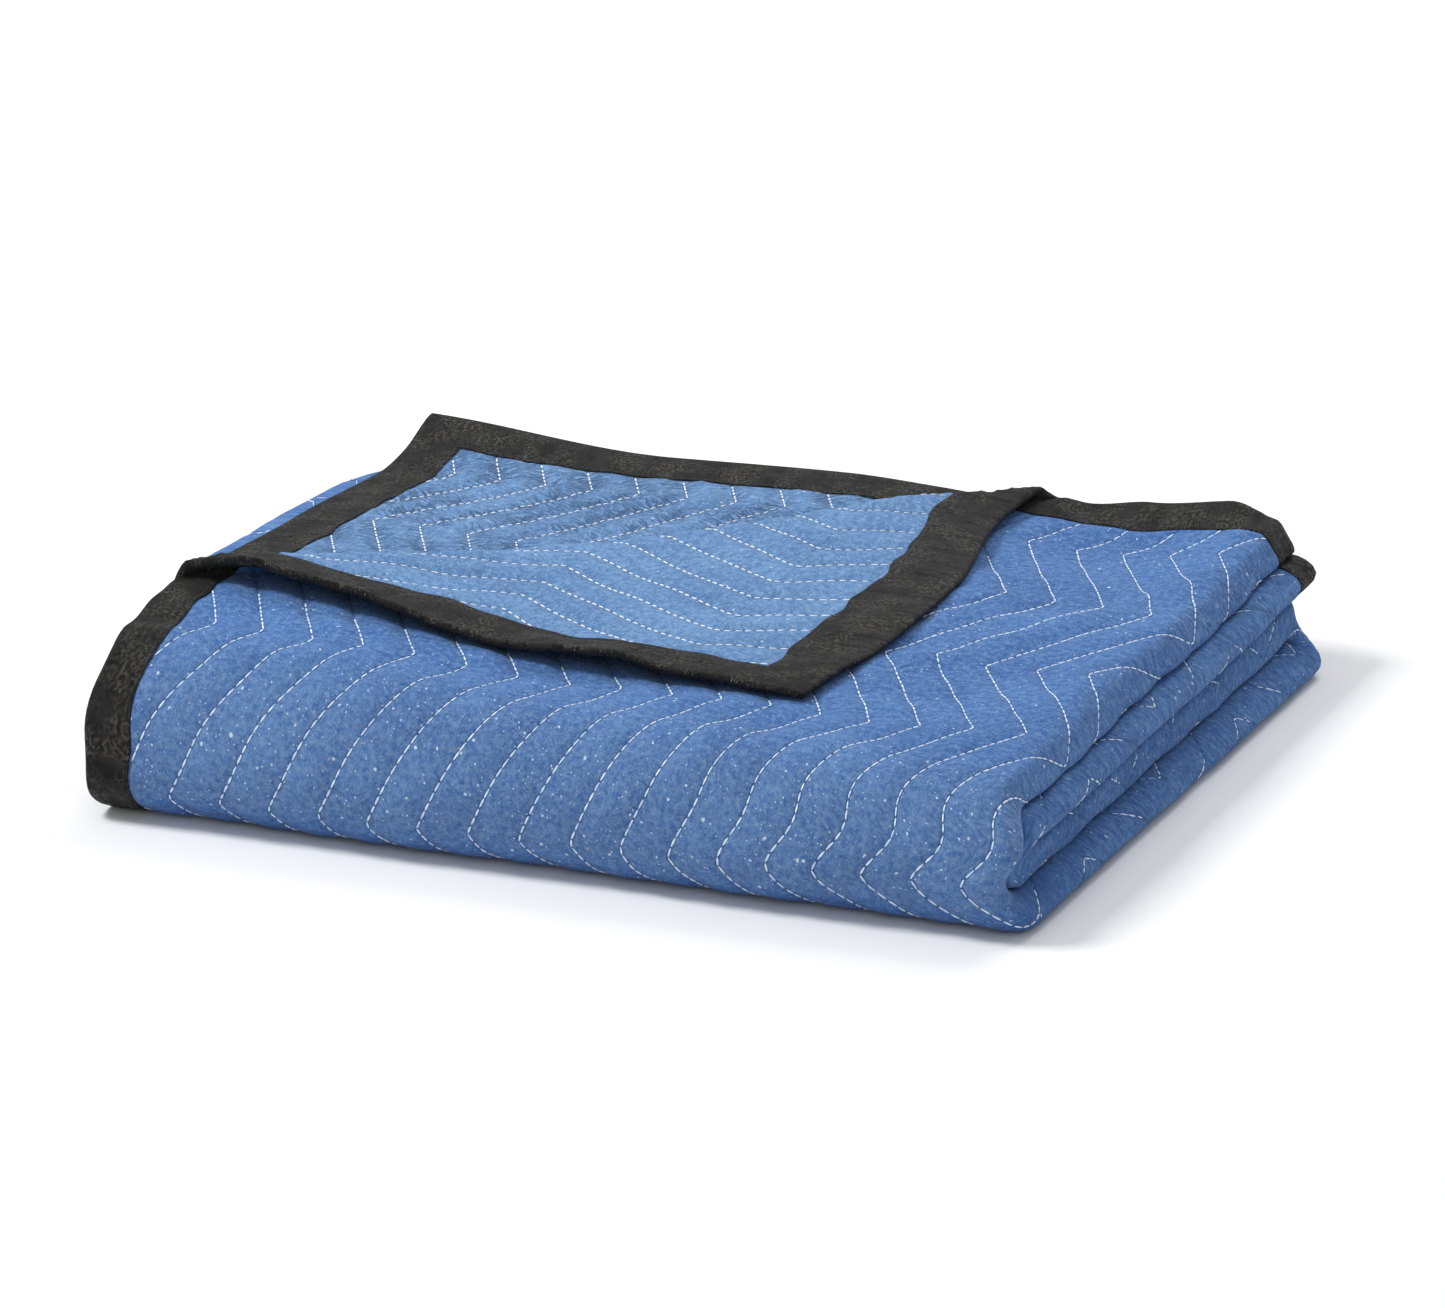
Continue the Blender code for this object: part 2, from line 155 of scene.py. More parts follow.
@dataclass(frozen=True)
class FoldedPile:
    """The folding: how a point of the flat blanket goes to its place in the pile.

    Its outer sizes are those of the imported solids. Places on the cloth are u along it, v across it and w
    above its middle.
    """

    length: float = 510 * MM
    depth: float = 466 * MM
    pitch: float = 4.8 * MM
    panel_half: float = 2.1 * MM
    centre_x: float = -4.4 * MM
    centre_y: float = 0.9 * MM
    # The turned corner's crease: where it meets the left and the back edge, and how it lies.
    turn_v: float = 361 * MM
    turn_u: float = 373 * MM
    turn_radius: float = 4.0 * MM
    turn_settle: float = 45 * MM
    turn_gap: float = 1 * MM
    crease_stand: float = 2 * MM
    crease_reach: float = 55 * MM
    curl_stand: float = 3.5 * MM
    curl_reach: float = 20 * MM
    # How the turned corner's edges leave the straight line.
    right_bulge: float = 11 * MM
    tip_bulge: float = 10 * MM
    back_pull: float = 12 * MM
    front_bulge: float = 12 * MM
    bulge_width: float = 110 * MM
    # How far single layers have slipped at the left.
    top_slip: float = 5 * MM
    top_slip_reach: float = 120 * MM
    fold_slip: float = 19 * MM
    # How the front leans, the back leans and sways, and the sides shift, from the floor to the top.
    front_reach: float = 190 * MM
    front_lean: float = 24 * MM
    front_pull: float = 5 * MM
    back_lean: float = 14 * MM
    back_draw: float = 6 * MM
    back_sway: float = 4 * MM
    back_wave: float = 3 * MM
    twist: float = 12 * MM
    shift: float = 3 * MM
    left_lean: float = 5 * MM
    left_sway: float = 3 * MM
    right_fan: float = 7 * MM
    right_sway: float = 5 * MM
    right_lean: float = 10 * MM
    belly: float = 6 * MM
    # How full the pile is.
    fullness: float = 1.02
    low_corner: float = 0.085
    pressed_front: float = 0.06
    unevenness: float = 0.025
    swells: tuple[Swell, ...] = (
        Swell(-0.16, (150 * MM, 190 * MM), (115 * MM, 170 * MM)),
        Swell(0.06, (240 * MM, 225 * MM), (130 * MM, 130 * MM)),
        Swell(0.11, (-235 * MM, -105 * MM), (180 * MM, 150 * MM), from_left=True),
        Swell(0.075, (-235 * MM, 50 * MM), (180 * MM, 165 * MM), from_left=True),
        Swell(0.09, (-215 * MM, -153 * MM), (335 * MM, 200 * MM), from_left=True),
    )

    @property
    def strip(self) -> float:
        """The thickness of the strip of four layers."""
        return 4 * self.pitch

    @property
    def foot(self) -> float:
        """How much the lowest layer is below its pitch's share."""
        return self.pitch / 2 - self.panel_half

    @property
    def outer_radius(self) -> float:
        """The radius of the outer fold at the right."""
        return 1.5 * self.pitch

    @property
    def inner_radius(self) -> float:
        """The radius of the inner folds at the right and at the left."""
        return 0.5 * self.pitch

    @property
    def side_centre(self) -> float:
        """Where along X the folds at the right are centred."""
        return self.length / 2 - self.outer_radius - self.panel_half

    @property
    def left_centre(self) -> float:
        """Where along X the fold at the left is centred."""
        return -self.length / 2 + self.inner_radius + self.panel_half

    @property
    def front_centre(self) -> float:
        """Where along Y the folds at the front are centred."""
        return -self.depth / 2 + 2 * self.strip - self.foot

    @property
    def back_centre(self) -> float:
        """Where along Y the fold at the back is centred."""
        return self.depth / 2 - self.strip + self.foot

    @cached_property
    def u_runs(self) -> Array:
        """Lengths of cloth along u, pass by pass and fold by fold."""
        top = self.side_centre + self.length / 2
        inner = self.side_centre - self.left_centre
        turn = math.pi * self.inner_radius
        return np.array([top, math.pi * self.outer_radius, inner, turn, inner, turn, top])

    @cached_property
    def v_runs(self) -> Array:
        """Lengths of cloth along v, pass by pass and fold by fold."""
        outer = self.depth / 2 - self.front_centre
        inner = self.back_centre - self.front_centre
        front = math.pi * (2 * self.strip - self.pitch / 2)
        back = math.pi * (self.strip - self.pitch / 2)
        return np.array([outer, front, inner, back, inner, math.pi * self.pitch / 2, outer])

    @cached_property
    def u_starts(self) -> Array:
        """Where each run along u starts, and where the last one ends."""
        return np.concatenate([[0], np.cumsum(self.u_runs)])

    @cached_property
    def v_starts(self) -> Array:
        """Where each run along v starts, and where the last one ends."""
        return np.concatenate([[0], np.cumsum(self.v_runs)])

    @property
    def cloth_length(self) -> float:
        """The blanket's flat size along u."""
        return float(self.u_starts[-1])

    @property
    def cloth_width(self) -> float:
        """The blanket's flat size along v."""
        return float(self.v_starts[-1])

    @property
    def crease_length(self) -> float:
        """How long the turned corner's crease is."""
        return math.hypot(self.turn_v, self.turn_u)

    @cached_property
    def turn_axis(self) -> tuple[float, float]:
        """The unit vector across the turned corner's crease, towards the corner."""
        return -self.turn_v / self.crease_length, -self.turn_u / self.crease_length

    def past_roll(self, u: Array, v: Array) -> Array:
        """Reads how far places lie past the start of the turned corner's roll, towards the corner."""
        axis_u, axis_v = self.turn_axis
        return axis_u * u + axis_v * (v - self.turn_v) + math.pi * self.turn_radius / 2

    def turned(self, u: Array, v: Array, w: Array) -> tuple[Array, Array, Array]:
        """Rolls the corner at u = v = 0 over onto the face of the cloth.

        Args:
            u, v, w: places on the cloth.

        Returns:
            The three coordinates after the turn.
        """
        radius = self.turn_radius
        beyond = self.past_roll(u, v)
        angle = np.clip(beyond / radius, 0, math.pi)
        past = np.maximum(0, beyond - math.pi * radius)
        moved = (radius - w) * np.sin(angle) - past - beyond
        rise = radius - (radius - w) * np.cos(angle)
        rest = self.pitch + self.turn_gap
        settled = rest - w + (2 * radius - rest) * np.exp(-past / self.turn_settle)
        rise = np.where(past > 0, settled, rise)
        on = beyond > 0
        axis_u, axis_v = self.turn_axis
        placed_u = np.where(on, u + axis_u * moved, u)
        placed_v = np.where(on, v + axis_v * moved, v)
        stand = self.stand(placed_u, placed_v, np.where(on, past, -beyond))
        return placed_u, placed_v, np.where(on, rise, w) + stand

    def stand(self, u: Array, v: Array, from_crease: Array) -> Array:
        """Reads how far the cloth beside the crease stands off the second layer."""
        axis_u, axis_v = self.turn_axis
        share = np.clip((-axis_v * u + axis_u * (v - self.turn_v)) / self.crease_length, 0, 1)
        crease = self.crease_stand * (1 - share) * np.exp(-from_crease / self.crease_reach)
        curl = self.curl_stand * smooth_step(share, 0.88, 1) * np.exp(-from_crease / self.curl_reach)
        top = (1 - smooth_step(u, 430 * MM, 495 * MM)) * (1 - smooth_step(v, 480 * MM, 560 * MM))
        return (crease + curl) * top

    def bulged(self, u: Array, v: Array) -> tuple[Array, Array]:
        """Draws the turned corner's edges out of line, as the slack cloth lets them.

        Args:
            u, v: places on the cloth.

        Returns:
            The two coordinates with the bulges.
        """
        by_right = np.clip(1 - v / self.bulge_width, 0, 1) ** 3
        out = self.right_bulge * bump(u, 190 * MM, 180 * MM)
        out = out + self.tip_bulge * bump(u, 100 * MM, 140 * MM)
        back = self.back_pull * bump(u, 305 * MM, 105 * MM) * (1 - smooth_step(v, 20 * MM, 150 * MM))
        by_front = np.clip(1 - u / self.bulge_width, 0, 1) ** 2
        forward = self.front_bulge * bump(v, 145 * MM, 140 * MM) * by_front
        return u - forward, v - out * by_right + back

    def slipped(self, u: Array, v: Array) -> Array:
        """Moves the top layer's left edge a little to the right by the crease, where it has slipped."""
        by_crease = bump(v, 330 * MM, self.top_slip_reach)
        return u + self.top_slip * by_crease * (1 - smooth_step(u, 0, self.top_slip_reach))

    def pushed_out(self, x: Array, v: Array, depth: Array) -> Array:
        """Pushes the fold below the second layer out at the left, where it shows beside the tape."""
        edge = -self.length / 2
        near = 1 - smooth_step(x, edge, edge + 130 * MM)
        near = near * smooth_step(depth, 1.6 * self.pitch, 2.5 * self.pitch)
        along = smooth_step(v, 15 * MM, 90 * MM) * (1 - smooth_step(v, 250 * MM, self.turn_v))
        return x - self.fold_slip * near * along

    def across(self, u: Array, w: Array) -> tuple[Array, Array]:
        """Folds the cloth in four along X.

        Args:
            u, w: places along the cloth and above its middle.

        Returns:
            X, and the depth below the strip's top.
        """
        run = np.clip(np.searchsorted(self.u_starts, u, side="right") - 1, 0, 6)
        along = u - self.u_starts[run]
        angle = math.pi * along / self.u_runs[run]
        sine, cosine = np.sin(angle), np.cos(angle)
        p, right, left = self.pitch, self.side_centre, self.left_centre
        outer, inner, tight = self.outer_radius + w, self.inner_radius + w, self.inner_radius - w
        edge = -self.length / 2
        x = np.choose(run, [
            edge + along, right + outer * sine, right - along, left - inner * sine,
            left + along, right + tight * sine, right - along,
        ])
        depth = np.choose(run, [
            p / 2 - w, 2 * p - outer * cosine, 3.5 * p + w, 3 * p + inner * cosine,
            2.5 * p - w, 2 * p + tight * cosine, 1.5 * p + w,
        ])
        return x, depth

    def deep(self, v: Array, depth: Array) -> tuple[Array, Array]:
        """Folds the strip in four along Y.

        Args:
            v: places across the cloth.
            depth: depths below the strip's top.

        Returns:
            Y and Z.
        """
        run = np.clip(np.searchsorted(self.v_starts, v, side="right") - 1, 0, 6)
        along = v - self.v_starts[run]
        angle = math.pi * along / self.v_runs[run]
        sine, cosine = np.sin(angle), np.cos(angle)
        s, front, back, edge = self.strip, self.front_centre, self.back_centre, self.depth / 2
        y = np.choose(run, [
            edge - along, front - (2 * s - depth) * sine, front + along,
            back + (s - depth) * sine, back - along, front - depth * sine, front + along,
        ])
        z = np.choose(run, [
            4 * s - depth, 2 * s + (2 * s - depth) * cosine, depth,
            s - (s - depth) * cosine, 2 * s - depth, 2 * s - depth * cosine, 2 * s + depth,
        ])
        return y, z

    def settle(self, x: Array, y: Array, z: Array) -> Array:
        """Gives the pile its unevenness, level by level, so no two layers cross.

        Args:
            x, y, z: places in the even pile.

        Returns:
            Points, one row each, in the frame's metres.
        """
        low_x, high_x = -self.length / 2, self.length / 2
        low_y, high_y = -self.depth / 2, self.depth / 2
        high = z / (4 * self.strip)
        front = 1 - smooth_step(y, low_y, low_y + self.front_reach)
        back = smooth_step(y, 0, high_y)
        left = 1 - smooth_step(x, low_x, 0)
        right = smooth_step(x, 0, high_x)
        waves = 2 * math.pi * z / self.strip
        y = y + front * (self.front_lean * (high - 0.5) - self.front_pull)
        y = y + back * (self.back_lean * high - self.back_draw)
        y = y + back * self.back_sway * np.sin(waves / 2.6 + 2.0)
        y = y + back * self.back_wave * np.sin(x / (70 * MM))
        x = x - high * (self.shift + self.twist * smooth_step(y, low_y, 0))
        x = x - left * high * self.left_lean
        x = x - left * self.left_sway * np.sin(waves / 2.6 + 1.1)
        x = x + right * self.right_fan * smooth_step(y, low_y, high_y)
        x = x + right * self.right_sway * np.sin(waves / 2.2 + 0.6)
        x = x - right * self.right_lean * high * bump(y, low_y, 150 * MM)
        x = x - right * back * self.right_fan * high
        at_front = 1 - smooth_step(y, low_y + 40 * MM, low_y + 200 * MM)
        x = x - left * at_front * self.belly * bump(high, 0.35, 0.4)
        height = self.fullness - self.low_corner * left * back
        for swell in self.swells:
            height = height + swell.at(x, y)
        pressed = smooth_step(x, 60 * MM, high_x) * (1 - smooth_step(y, low_y, 40 * MM))
        height = height - self.pressed_front * pressed
        height = height + self.unevenness * np.sin(x / (95 * MM) + 1.0) * np.sin(y / (80 * MM))
        return np.stack([x - self.centre_x, y - self.centre_y, z * height], axis=-1)

    def place(self, u: Array, v: Array, w: Array) -> Array:
        """Folds points of the flat blanket."""
        u, v, w = self.turned(*self.bulged(u, v), w)
        x, depth = self.across(self.slipped(u, v), w)
        x = self.pushed_out(x, v, depth)
        y, z = self.deep(v, depth)
        return self.settle(x, y, z - self.foot)


@dataclass(frozen=True)
class Quilting:
    """The zigzag quilting: rows that run along v, side by side."""

    row_pitch: float = 27.8 * MM
    first_row: float = 17 * MM
    reach: float = 55 * MM
    step: float = 110 * MM
    first_turn: float = 60 * MM
    dip: float = 1.15 * MM
    crown: float = 0.5 * MM
    wander: float = 0.7 * MM
    front_creep: float = 19 * MM
    corner_creep: float = 12 * MM

    def shift(self, v: Array) -> Array:
        """Finds how far the zigzag has carried the rows along u, at the pattern's own v."""
        turns = (v - self.first_turn) / self.step
        return self.reach * (1 - np.abs(np.mod(turns, 2) - 1))

    def drawn(self, u: Array, v: Array) -> tuple[Array, Array]:
        """Finds the pattern's own coordinates, since the cloth crept a little while it was sewn."""
        tilt = np.clip((u - 290 * MM) / (215 * MM), -1, 1.1)
        front = smooth_step(v, 220 * MM, 390 * MM) * (1 - smooth_step(v, 560 * MM, 700 * MM))
        creep = self.front_creep * tilt * front * (1 - 0.6 * smooth_step(v, 420 * MM, 510 * MM))
        corner = (1 - smooth_step(v, 230 * MM, 330 * MM)) * (1 - smooth_step(u, 300 * MM, 390 * MM))
        waver = self.wander * np.sin(v / (23 * MM) + u / (41 * MM))
        return u + waver, v + creep - self.corner_creep * corner

    def line(self, place: Array, v: Array) -> Array:
        """Finds the u at each v of a line that follows the zigzag; place is where it is nearest u = 0."""
        u = place + self.shift(v)
        for _ in range(4):
            drawn_u, drawn_v = self.drawn(u, v)
            u = u + place + self.shift(drawn_v) - drawn_u
        return u

    def rows_between(self, low: float, high: float) -> Array:
        """Lists the rows that come between two places on u."""
        first = math.floor((low - 2 * self.reach - self.first_row) / self.row_pitch)
        last = math.ceil((high + self.reach - self.first_row) / self.row_pitch)
        return self.first_row + self.row_pitch * np.arange(first, last + 1)

    def lines_between(self, low: float, high: float) -> Array:
        """Lists lines that follow the zigzag: one on each row, and three on each side of it."""
        offsets = np.array([-10.4, -5.8, -1.8, 0, 1.8, 5.8, 10.4]) * MM
        return (self.rows_between(low, high)[:, None] + offsets).ravel()

    def puff(self, u: Array, v: Array) -> Array:
        """Reads the padding's rise between two rows: 0 on a row and 1 midway."""
        drawn_u, drawn_v = self.drawn(u, v)
        rows = (drawn_u - self.first_row - self.shift(drawn_v)) / self.row_pitch
        off_row = 2 * np.abs(rows - np.round(rows))
        return 1 - (1 - off_row) ** 2.2


@dataclass(frozen=True)
class Cloth:
    """The quilted cloth's own relief, laid over the folding.

    Args:
        pile: the folding.
        quilting: the zigzag rows.
    """

    pile: FoldedPile = field(default_factory=FoldedPile)
    quilting: Quilting = field(default_factory=Quilting)
    # The cloth's thickness: under the tapes, beside them, and where it is crumpled or pleated.
    tape_width: float = 25 * MM
    reverse_tape: float = 31 * MM
    edge_half: float = 1.05 * MM
    edge_pressed: float = 0.55 * MM
    shoulder: float = 3.5 * MM
    crumple: float = 0.2 * MM
    pleats: float = 0.62 * MM
    # How far it stands off the layer below: on the top, along the ridge and at its edges.
    slack: float = 1.5 * MM
    ridge_height: float = 2.8 * MM
    ridge_half: float = 12 * MM
    ridge_bow: float = 8 * MM
    flap_rest: float = 0.8 * MM
    flap_waves: float = 0.6 * MM
    loose_lift: float = 4.0 * MM
    loose_waves: float = 1.4 * MM
    edge_curl: float = 8.5 * MM
    corner_curl: float = 10 * MM
    back_curl: float = 3 * MM
    curl_width: float = 40 * MM

    def covered(self, u: Array, v: Array) -> Array:
        """Reads how much the turned corner covers the face there: 1 under it, 0 clear of it."""
        axis_u, axis_v = self.pile.turn_axis
        beyond = axis_u * u + axis_v * (v - self.pile.turn_v)
        mirror_u, mirror_v = u - axis_u * 2 * beyond, v - axis_v * 2 * beyond
        inside = np.minimum(mirror_u, mirror_v)
        return smooth_step(inside, -14 * MM, 12 * MM) * smooth_step(-beyond, -6 * MM, 2 * MM)

    def on_top(self, u: Array, v: Array) -> Array:
        """Reads where the outermost layer shows, from the top round the front: 1 there."""
        shown = 1 - smooth_step(u, self.pile.u_starts[1] - 8 * MM, self.pile.u_starts[1] + 4 * MM)
        return shown * (1 - smooth_step(v, self.pile.v_starts[2] - 40 * MM, self.pile.v_starts[2]))

    def in_flap(self, u: Array, v: Array) -> Array:
        """Reads where the corner is turned over: 1 there, 0 before the roll."""
        past = self.pile.past_roll(u, v) - 2 * self.pile.turn_radius
        return smooth_step(past, 0, 15 * MM) * (u < self.pile.u_runs[0])

    def second_shown(self, u: Array, v: Array) -> Array:
        """Reads where the second layer shows behind the turned corner."""
        past = self.pile.past_roll(self.pile.cloth_length - u, v) - 2 * self.pile.turn_radius
        return smooth_step(past, 0, 12 * MM) * (u > self.pile.u_starts[6])

    def lift(self, u: Array, v: Array) -> Array:
        """Reads how far the slack cloth stands off the layer that it lies on.

        Args:
            u, v: places on the cloth.

        Returns:
            The height of the cloth's middle above its folded place.
        """
        flap = self.in_flap(u, v)
        free = (1 - self.covered(u, v)) * self.on_top(u, v) * (1 - flap)
        broad = 0.5 + 0.5 * Ripples(150 * MM, 11).at(u, v)
        top = self.slack * (1.2 * broad + 0.35 * Ripples(46 * MM, 12).at(u, v))
        top = free * (top + self.ridge(u, v) + self.curled_edge(u, v))
        loose = np.exp(-np.maximum(u, 0) / (34 * MM)) * smooth_step(v, 0, 60 * MM)
        along = 1.5 * Ripples(85 * MM, 21).at(u, v) + 0.6 * Ripples(38 * MM, 22).at(u, v)
        waves = self.flap_waves * Ripples(60 * MM, 23).at(u, v) * (1 - loose)
        corner = self.flap_rest + waves + loose * (self.loose_lift + self.loose_waves * along)
        return top - flap * corner - self.raised_corner(u, v)

    def ridge(self, u: Array, v: Array) -> Array:
        """Reads the soft ridge that runs over the top beside the turned corner."""
        near, far = 86 * MM, 296 * MM
        share = np.clip((far - v) / (far - near), 0, 1)
        crest = 394 * MM + 0.514 * (far - v) + self.ridge_bow * np.sin(math.pi * share)
        off = (u - crest) / self.ridge_half
        ends = smooth_step(v, 50 * MM, 120 * MM) * (1 - smooth_step(v, 290 * MM, 345 * MM))
        return self.ridge_height * ends * np.exp(-off * off)

    def curled_edge(self, u: Array, v: Array) -> Array:
        """Reads how far the top layer's back edge curls up between the crease and the right side."""
        between = smooth_step(u, 385 * MM, 425 * MM) * (1 - smooth_step(u, 470 * MM, 505 * MM))
        return self.edge_curl * between * (1 - smooth_step(v, 0, self.curl_width))

    def raised_corner(self, u: Array, v: Array) -> Array:
        """Reads how far the second layer's back edge curls up, most of all at its left corner."""
        away = self.pile.cloth_length - u
        shown = 1 - smooth_step(away, 250 * MM, 330 * MM)
        back = self.back_curl * (1 - smooth_step(v, 0, self.curl_width))
        corner = self.corner_curl * (1 - smooth_step(away, 0, 150 * MM)) * (1 - smooth_step(v, 0, 75 * MM))
        return (back + corner) * shown

    def thickness(self, u: Array, v: Array, side: Side) -> Array:
        """Reads how far one side of the cloth is from its middle, without a sign.

        Args:
            u, v: places on the cloth.
            side: which side.

        Returns:
            The distance at each place.
        """
        pile, quilting = self.pile, self.quilting
        second = self.second_shown(u, v)
        if side is Side.FACE:
            shown, hem = self.on_top(u, v) * (1 - self.covered(u, v)), self.tape_width
        else:
            shown, hem = np.maximum(self.in_flap(u, v), second), self.reverse_tape
        rise = quilting.puff(u, v)
        crown = quilting.crown * (1 + 0.25 * Ripples(31 * MM, 31).at(u, v))
        crown = crown + self.crumple * Ripples(13 * MM, 32).at(u, v)
        full = pile.panel_half - quilting.dip * (1 - rise) + shown * rise * crown
        if side is Side.REVERSE:
            pleats = self.pleats * Ripples(13 * MM, 33).at(0.35 * u, v + 0.4 * u)
            full = full + second * pleats * (0.4 + 0.6 * rise)
        edge = np.minimum(np.minimum(u, v), np.minimum(pile.cloth_length - u, pile.cloth_width - v))
        swell = smooth_step(edge, hem - 1 * MM, hem + self.shoulder)
        flattened = self.edge_half - self.edge_pressed * (1 - smooth_step(edge, 6 * MM, 18 * MM))
        return flattened + (full - flattened) * swell

    def surface(self, u: Array, v: Array, side: Side, above: float = 0) -> Array:
        """Places points on one side of the folded cloth, or somewhat above it."""
        height = (self.thickness(u, v, side) + above) * side.value
        return self.pile.place(u, v, self.lift(u, v) + height)


def evenly(low: float, high: float, count: int) -> Array:
    """Lists even places from low up to, but not with, high."""
    return low + (high - low) * np.arange(count) / count


def unit(vectors: Array) -> Array:
    """Brings vectors, one row each, to length 1."""
    return vectors / np.linalg.norm(vectors, axis=1, keepdims=True)


def as_object(
    name: str, mesh: bmesh.types.BMesh, materials: Sequence[bpy.types.Material]
) -> bpy.types.Object:
    """Makes a mesh an object of the scene, smoothly shaded.

    Args:
        name: the piece's name.
        mesh: the bmesh, which is freed.
        materials: its material slots.

    Returns:
        The object.
    """
    data = bpy.data.meshes.new(name)
    mesh.to_mesh(data)
    mesh.free()
    for material in materials:
        data.materials.append(material)
    data.shade_smooth()
    piece = bpy.data.objects.new(name, data)
    bpy.context.scene.collection.objects.link(piece)
    return piece


def add_map(piece: bpy.types.Object, name: str, u: Array, v: Array) -> None:
    """Gives a piece a UV map from a pair of numbers for each vertex."""
    data = piece.data
    corners = np.empty(len(data.loops), np.int32)
    data.loops.foreach_get("vertex_index", corners)
    pairs = np.stack([u, v], axis=-1)[corners].astype(np.float32)
    data.uv_layers.new(name=name).uv.foreach_set("vector", pairs.ravel())


def coordinates(mesh: bmesh.types.BMesh) -> Array:
    """Reads the vertices' coordinates, one row each."""
    return np.array([vert.co[:] for vert in mesh.verts])


def move_to(mesh: bmesh.types.BMesh, places: Array) -> None:
    """Moves every vertex to its row's place."""
    for vert, place in zip(mesh.verts, places.tolist()):
        vert.co = place


def grid(columns: int, rows: int) -> tuple[bmesh.types.BMesh, Array, Array]:
    """Makes a flat grid, and finds the column and the row of each vertex."""
    mesh = bmesh.new()
    bmesh.ops.create_grid(mesh, x_segments=columns - 1, y_segments=rows - 1, size=1)
    shares = (coordinates(mesh)[:, :2] + 1) / 2
    column, row = np.rint(shares * (columns - 1, rows - 1)).astype(int).T
    return mesh, column, row


@dataclass
class QuiltedPanel:
    """The quilted cloth from edge to edge: one closed sheet with a dark face and a lighter reverse."""

    cloth: Cloth
    inset: float = 2.0 * MM
    cell: float = 5.5 * MM
    hidden_cells: int = 13
    roll_lines: int = 13
    fine_second: float = 400 * MM

    def tape_lines(self) -> Array:
        """Lists the straight lines under the tape, from the cloth's cut edge inwards."""
        return np.array([self.inset / MM, 8, 16, 23.5, 25, 27, 29.5, 31, 33]) * MM

    def columns(self) -> tuple[Array, Array, Array]:
        """Lists the lines that cross u.

        Returns:
            Each line's place, and the limits between which it stays. They are endless for a straight line
            and finite for one that follows the zigzag.
        """
        pile, quilting = self.cloth.pile, self.cloth.quilting
        starts, end, hidden = pile.u_starts, pile.cloth_length, self.hidden_cells
        border, fine = self.tape_lines(), end - self.fine_second
        inner_counts = (12, hidden, 8, hidden, 8)
        straight = [evenly(*span) for span in zip(starts[1:6], starts[2:7], inner_counts)]
        spans: list[tuple[Array, float, float]] = [(border, -math.inf, math.inf)]
        for low, high, between in (
            (border[-1], starts[1], [*straight, evenly(starts[6], fine, 5)]),
            (fine, end - border[-1], [end - border[::-1]]),
        ):
            spans.append((quilting.lines_between(low, high), low, high))
            spans.extend((lines, -math.inf, math.inf) for lines in between)
        place = np.concatenate([lines for lines, _, _ in spans])
        low, high = np.array([limits for lines, *limits in spans for _ in lines]).T
        return place, low, high

    def rows(self) -> Array:
        """Lists the lines that cross v."""
        pile, hidden = self.cloth.pile, self.hidden_cells
        border, end = self.tape_lines(), pile.cloth_width
        limits = [border[-1], *pile.v_starts[1:7], end - border[-1]]
        cells, bends = (math.ceil((limits[run + 1] - limits[run]) / self.cell) for run in (0, 1))
        counts = (cells, bends, hidden, 10, hidden, 6, hidden)
        passes = [evenly(*span) for span in zip(limits[:-1], limits[1:], counts)]
        return np.concatenate([border[:-1], *passes, end - border[::-1]])

    def flat_sheet(self) -> bmesh.types.BMesh:
        """Lays the cloth out flat, with its faces along the zigzag where it shows.

        Returns:
            A closed slab, thin, with its face up.
        """
        place, low, high = self.columns()
        rows = self.rows()
        mesh, column, row = grid(len(place), len(rows))
        place, low, high, v = place[column], low[column], high[column], rows[row]
        u = np.where(np.isfinite(low), self.cloth.quilting.line(place, v), place)
        u = np.clip(u, low, high)
        move_to(mesh, np.stack([u, v, np.zeros(len(u))], axis=-1))
        bmesh.ops.remove_doubles(mesh, verts=mesh.verts, dist=0.01 * MM)
        self.cut_at_roll(mesh)
        bmesh.ops.solidify(mesh, geom=mesh.faces[:], thickness=1 * MM)
        mesh.normal_update()
        bmesh.ops.recalc_face_normals(mesh, faces=mesh.faces)
        return mesh

    def cut_at_roll(self, mesh: bmesh.types.BMesh) -> None:
        """Cuts the flat sheet along the turned corner's roll, so that it bends smoothly there."""
        pile = self.cloth.pile
        axis = Vector((*pile.turn_axis, 0))
        left_end, back_end = Vector((0, pile.turn_v, 0)), Vector((pile.turn_u, 0, 0))
        half = math.pi * pile.turn_radius / 2
        near = {
            face for face in mesh.faces
            if abs((face.calc_center_median() - left_end).dot(axis)) < 2.2 * half
            and face.calc_center_median().x < pile.turn_u + half
        }
        for share in np.linspace(-1, 1, self.roll_lines):
            start = left_end + axis * half * share
            way = back_end + axis * half * share - start
            edges = {edge for face in near for edge in face.edges}
            verts = {vert for face in near for vert in face.verts}
            found = bmesh.ops.bisect_plane(
                mesh, geom=[*verts, *edges, *near], plane_co=start,
                plane_no=(-way.y, way.x, 0), dist=0.02 * MM,
            )
            near |= {item for item in found["geom"] if isinstance(item, bmesh.types.BMFace)}
            near = {face for face in near if face.is_valid}

    def build(self, face: bpy.types.Material, reverse: bpy.types.Material) -> bpy.types.Object:
        """Builds the folded cloth.

        Args:
            face: the dark face's material.
            reverse: the lighter reverse's material.

        Returns:
            The piece.
        """
        mesh = self.flat_sheet()
        u, v, height = coordinates(mesh).T
        for polygon in mesh.faces:
            polygon.material_index = int(polygon.normal.z < -0.5)
        up = height > (height.min() + height.max()) / 2
        sides = (self.cloth.surface(u, v, side) for side in (Side.FACE, Side.REVERSE))
        move_to(mesh, np.where(up[:, None], *sides))
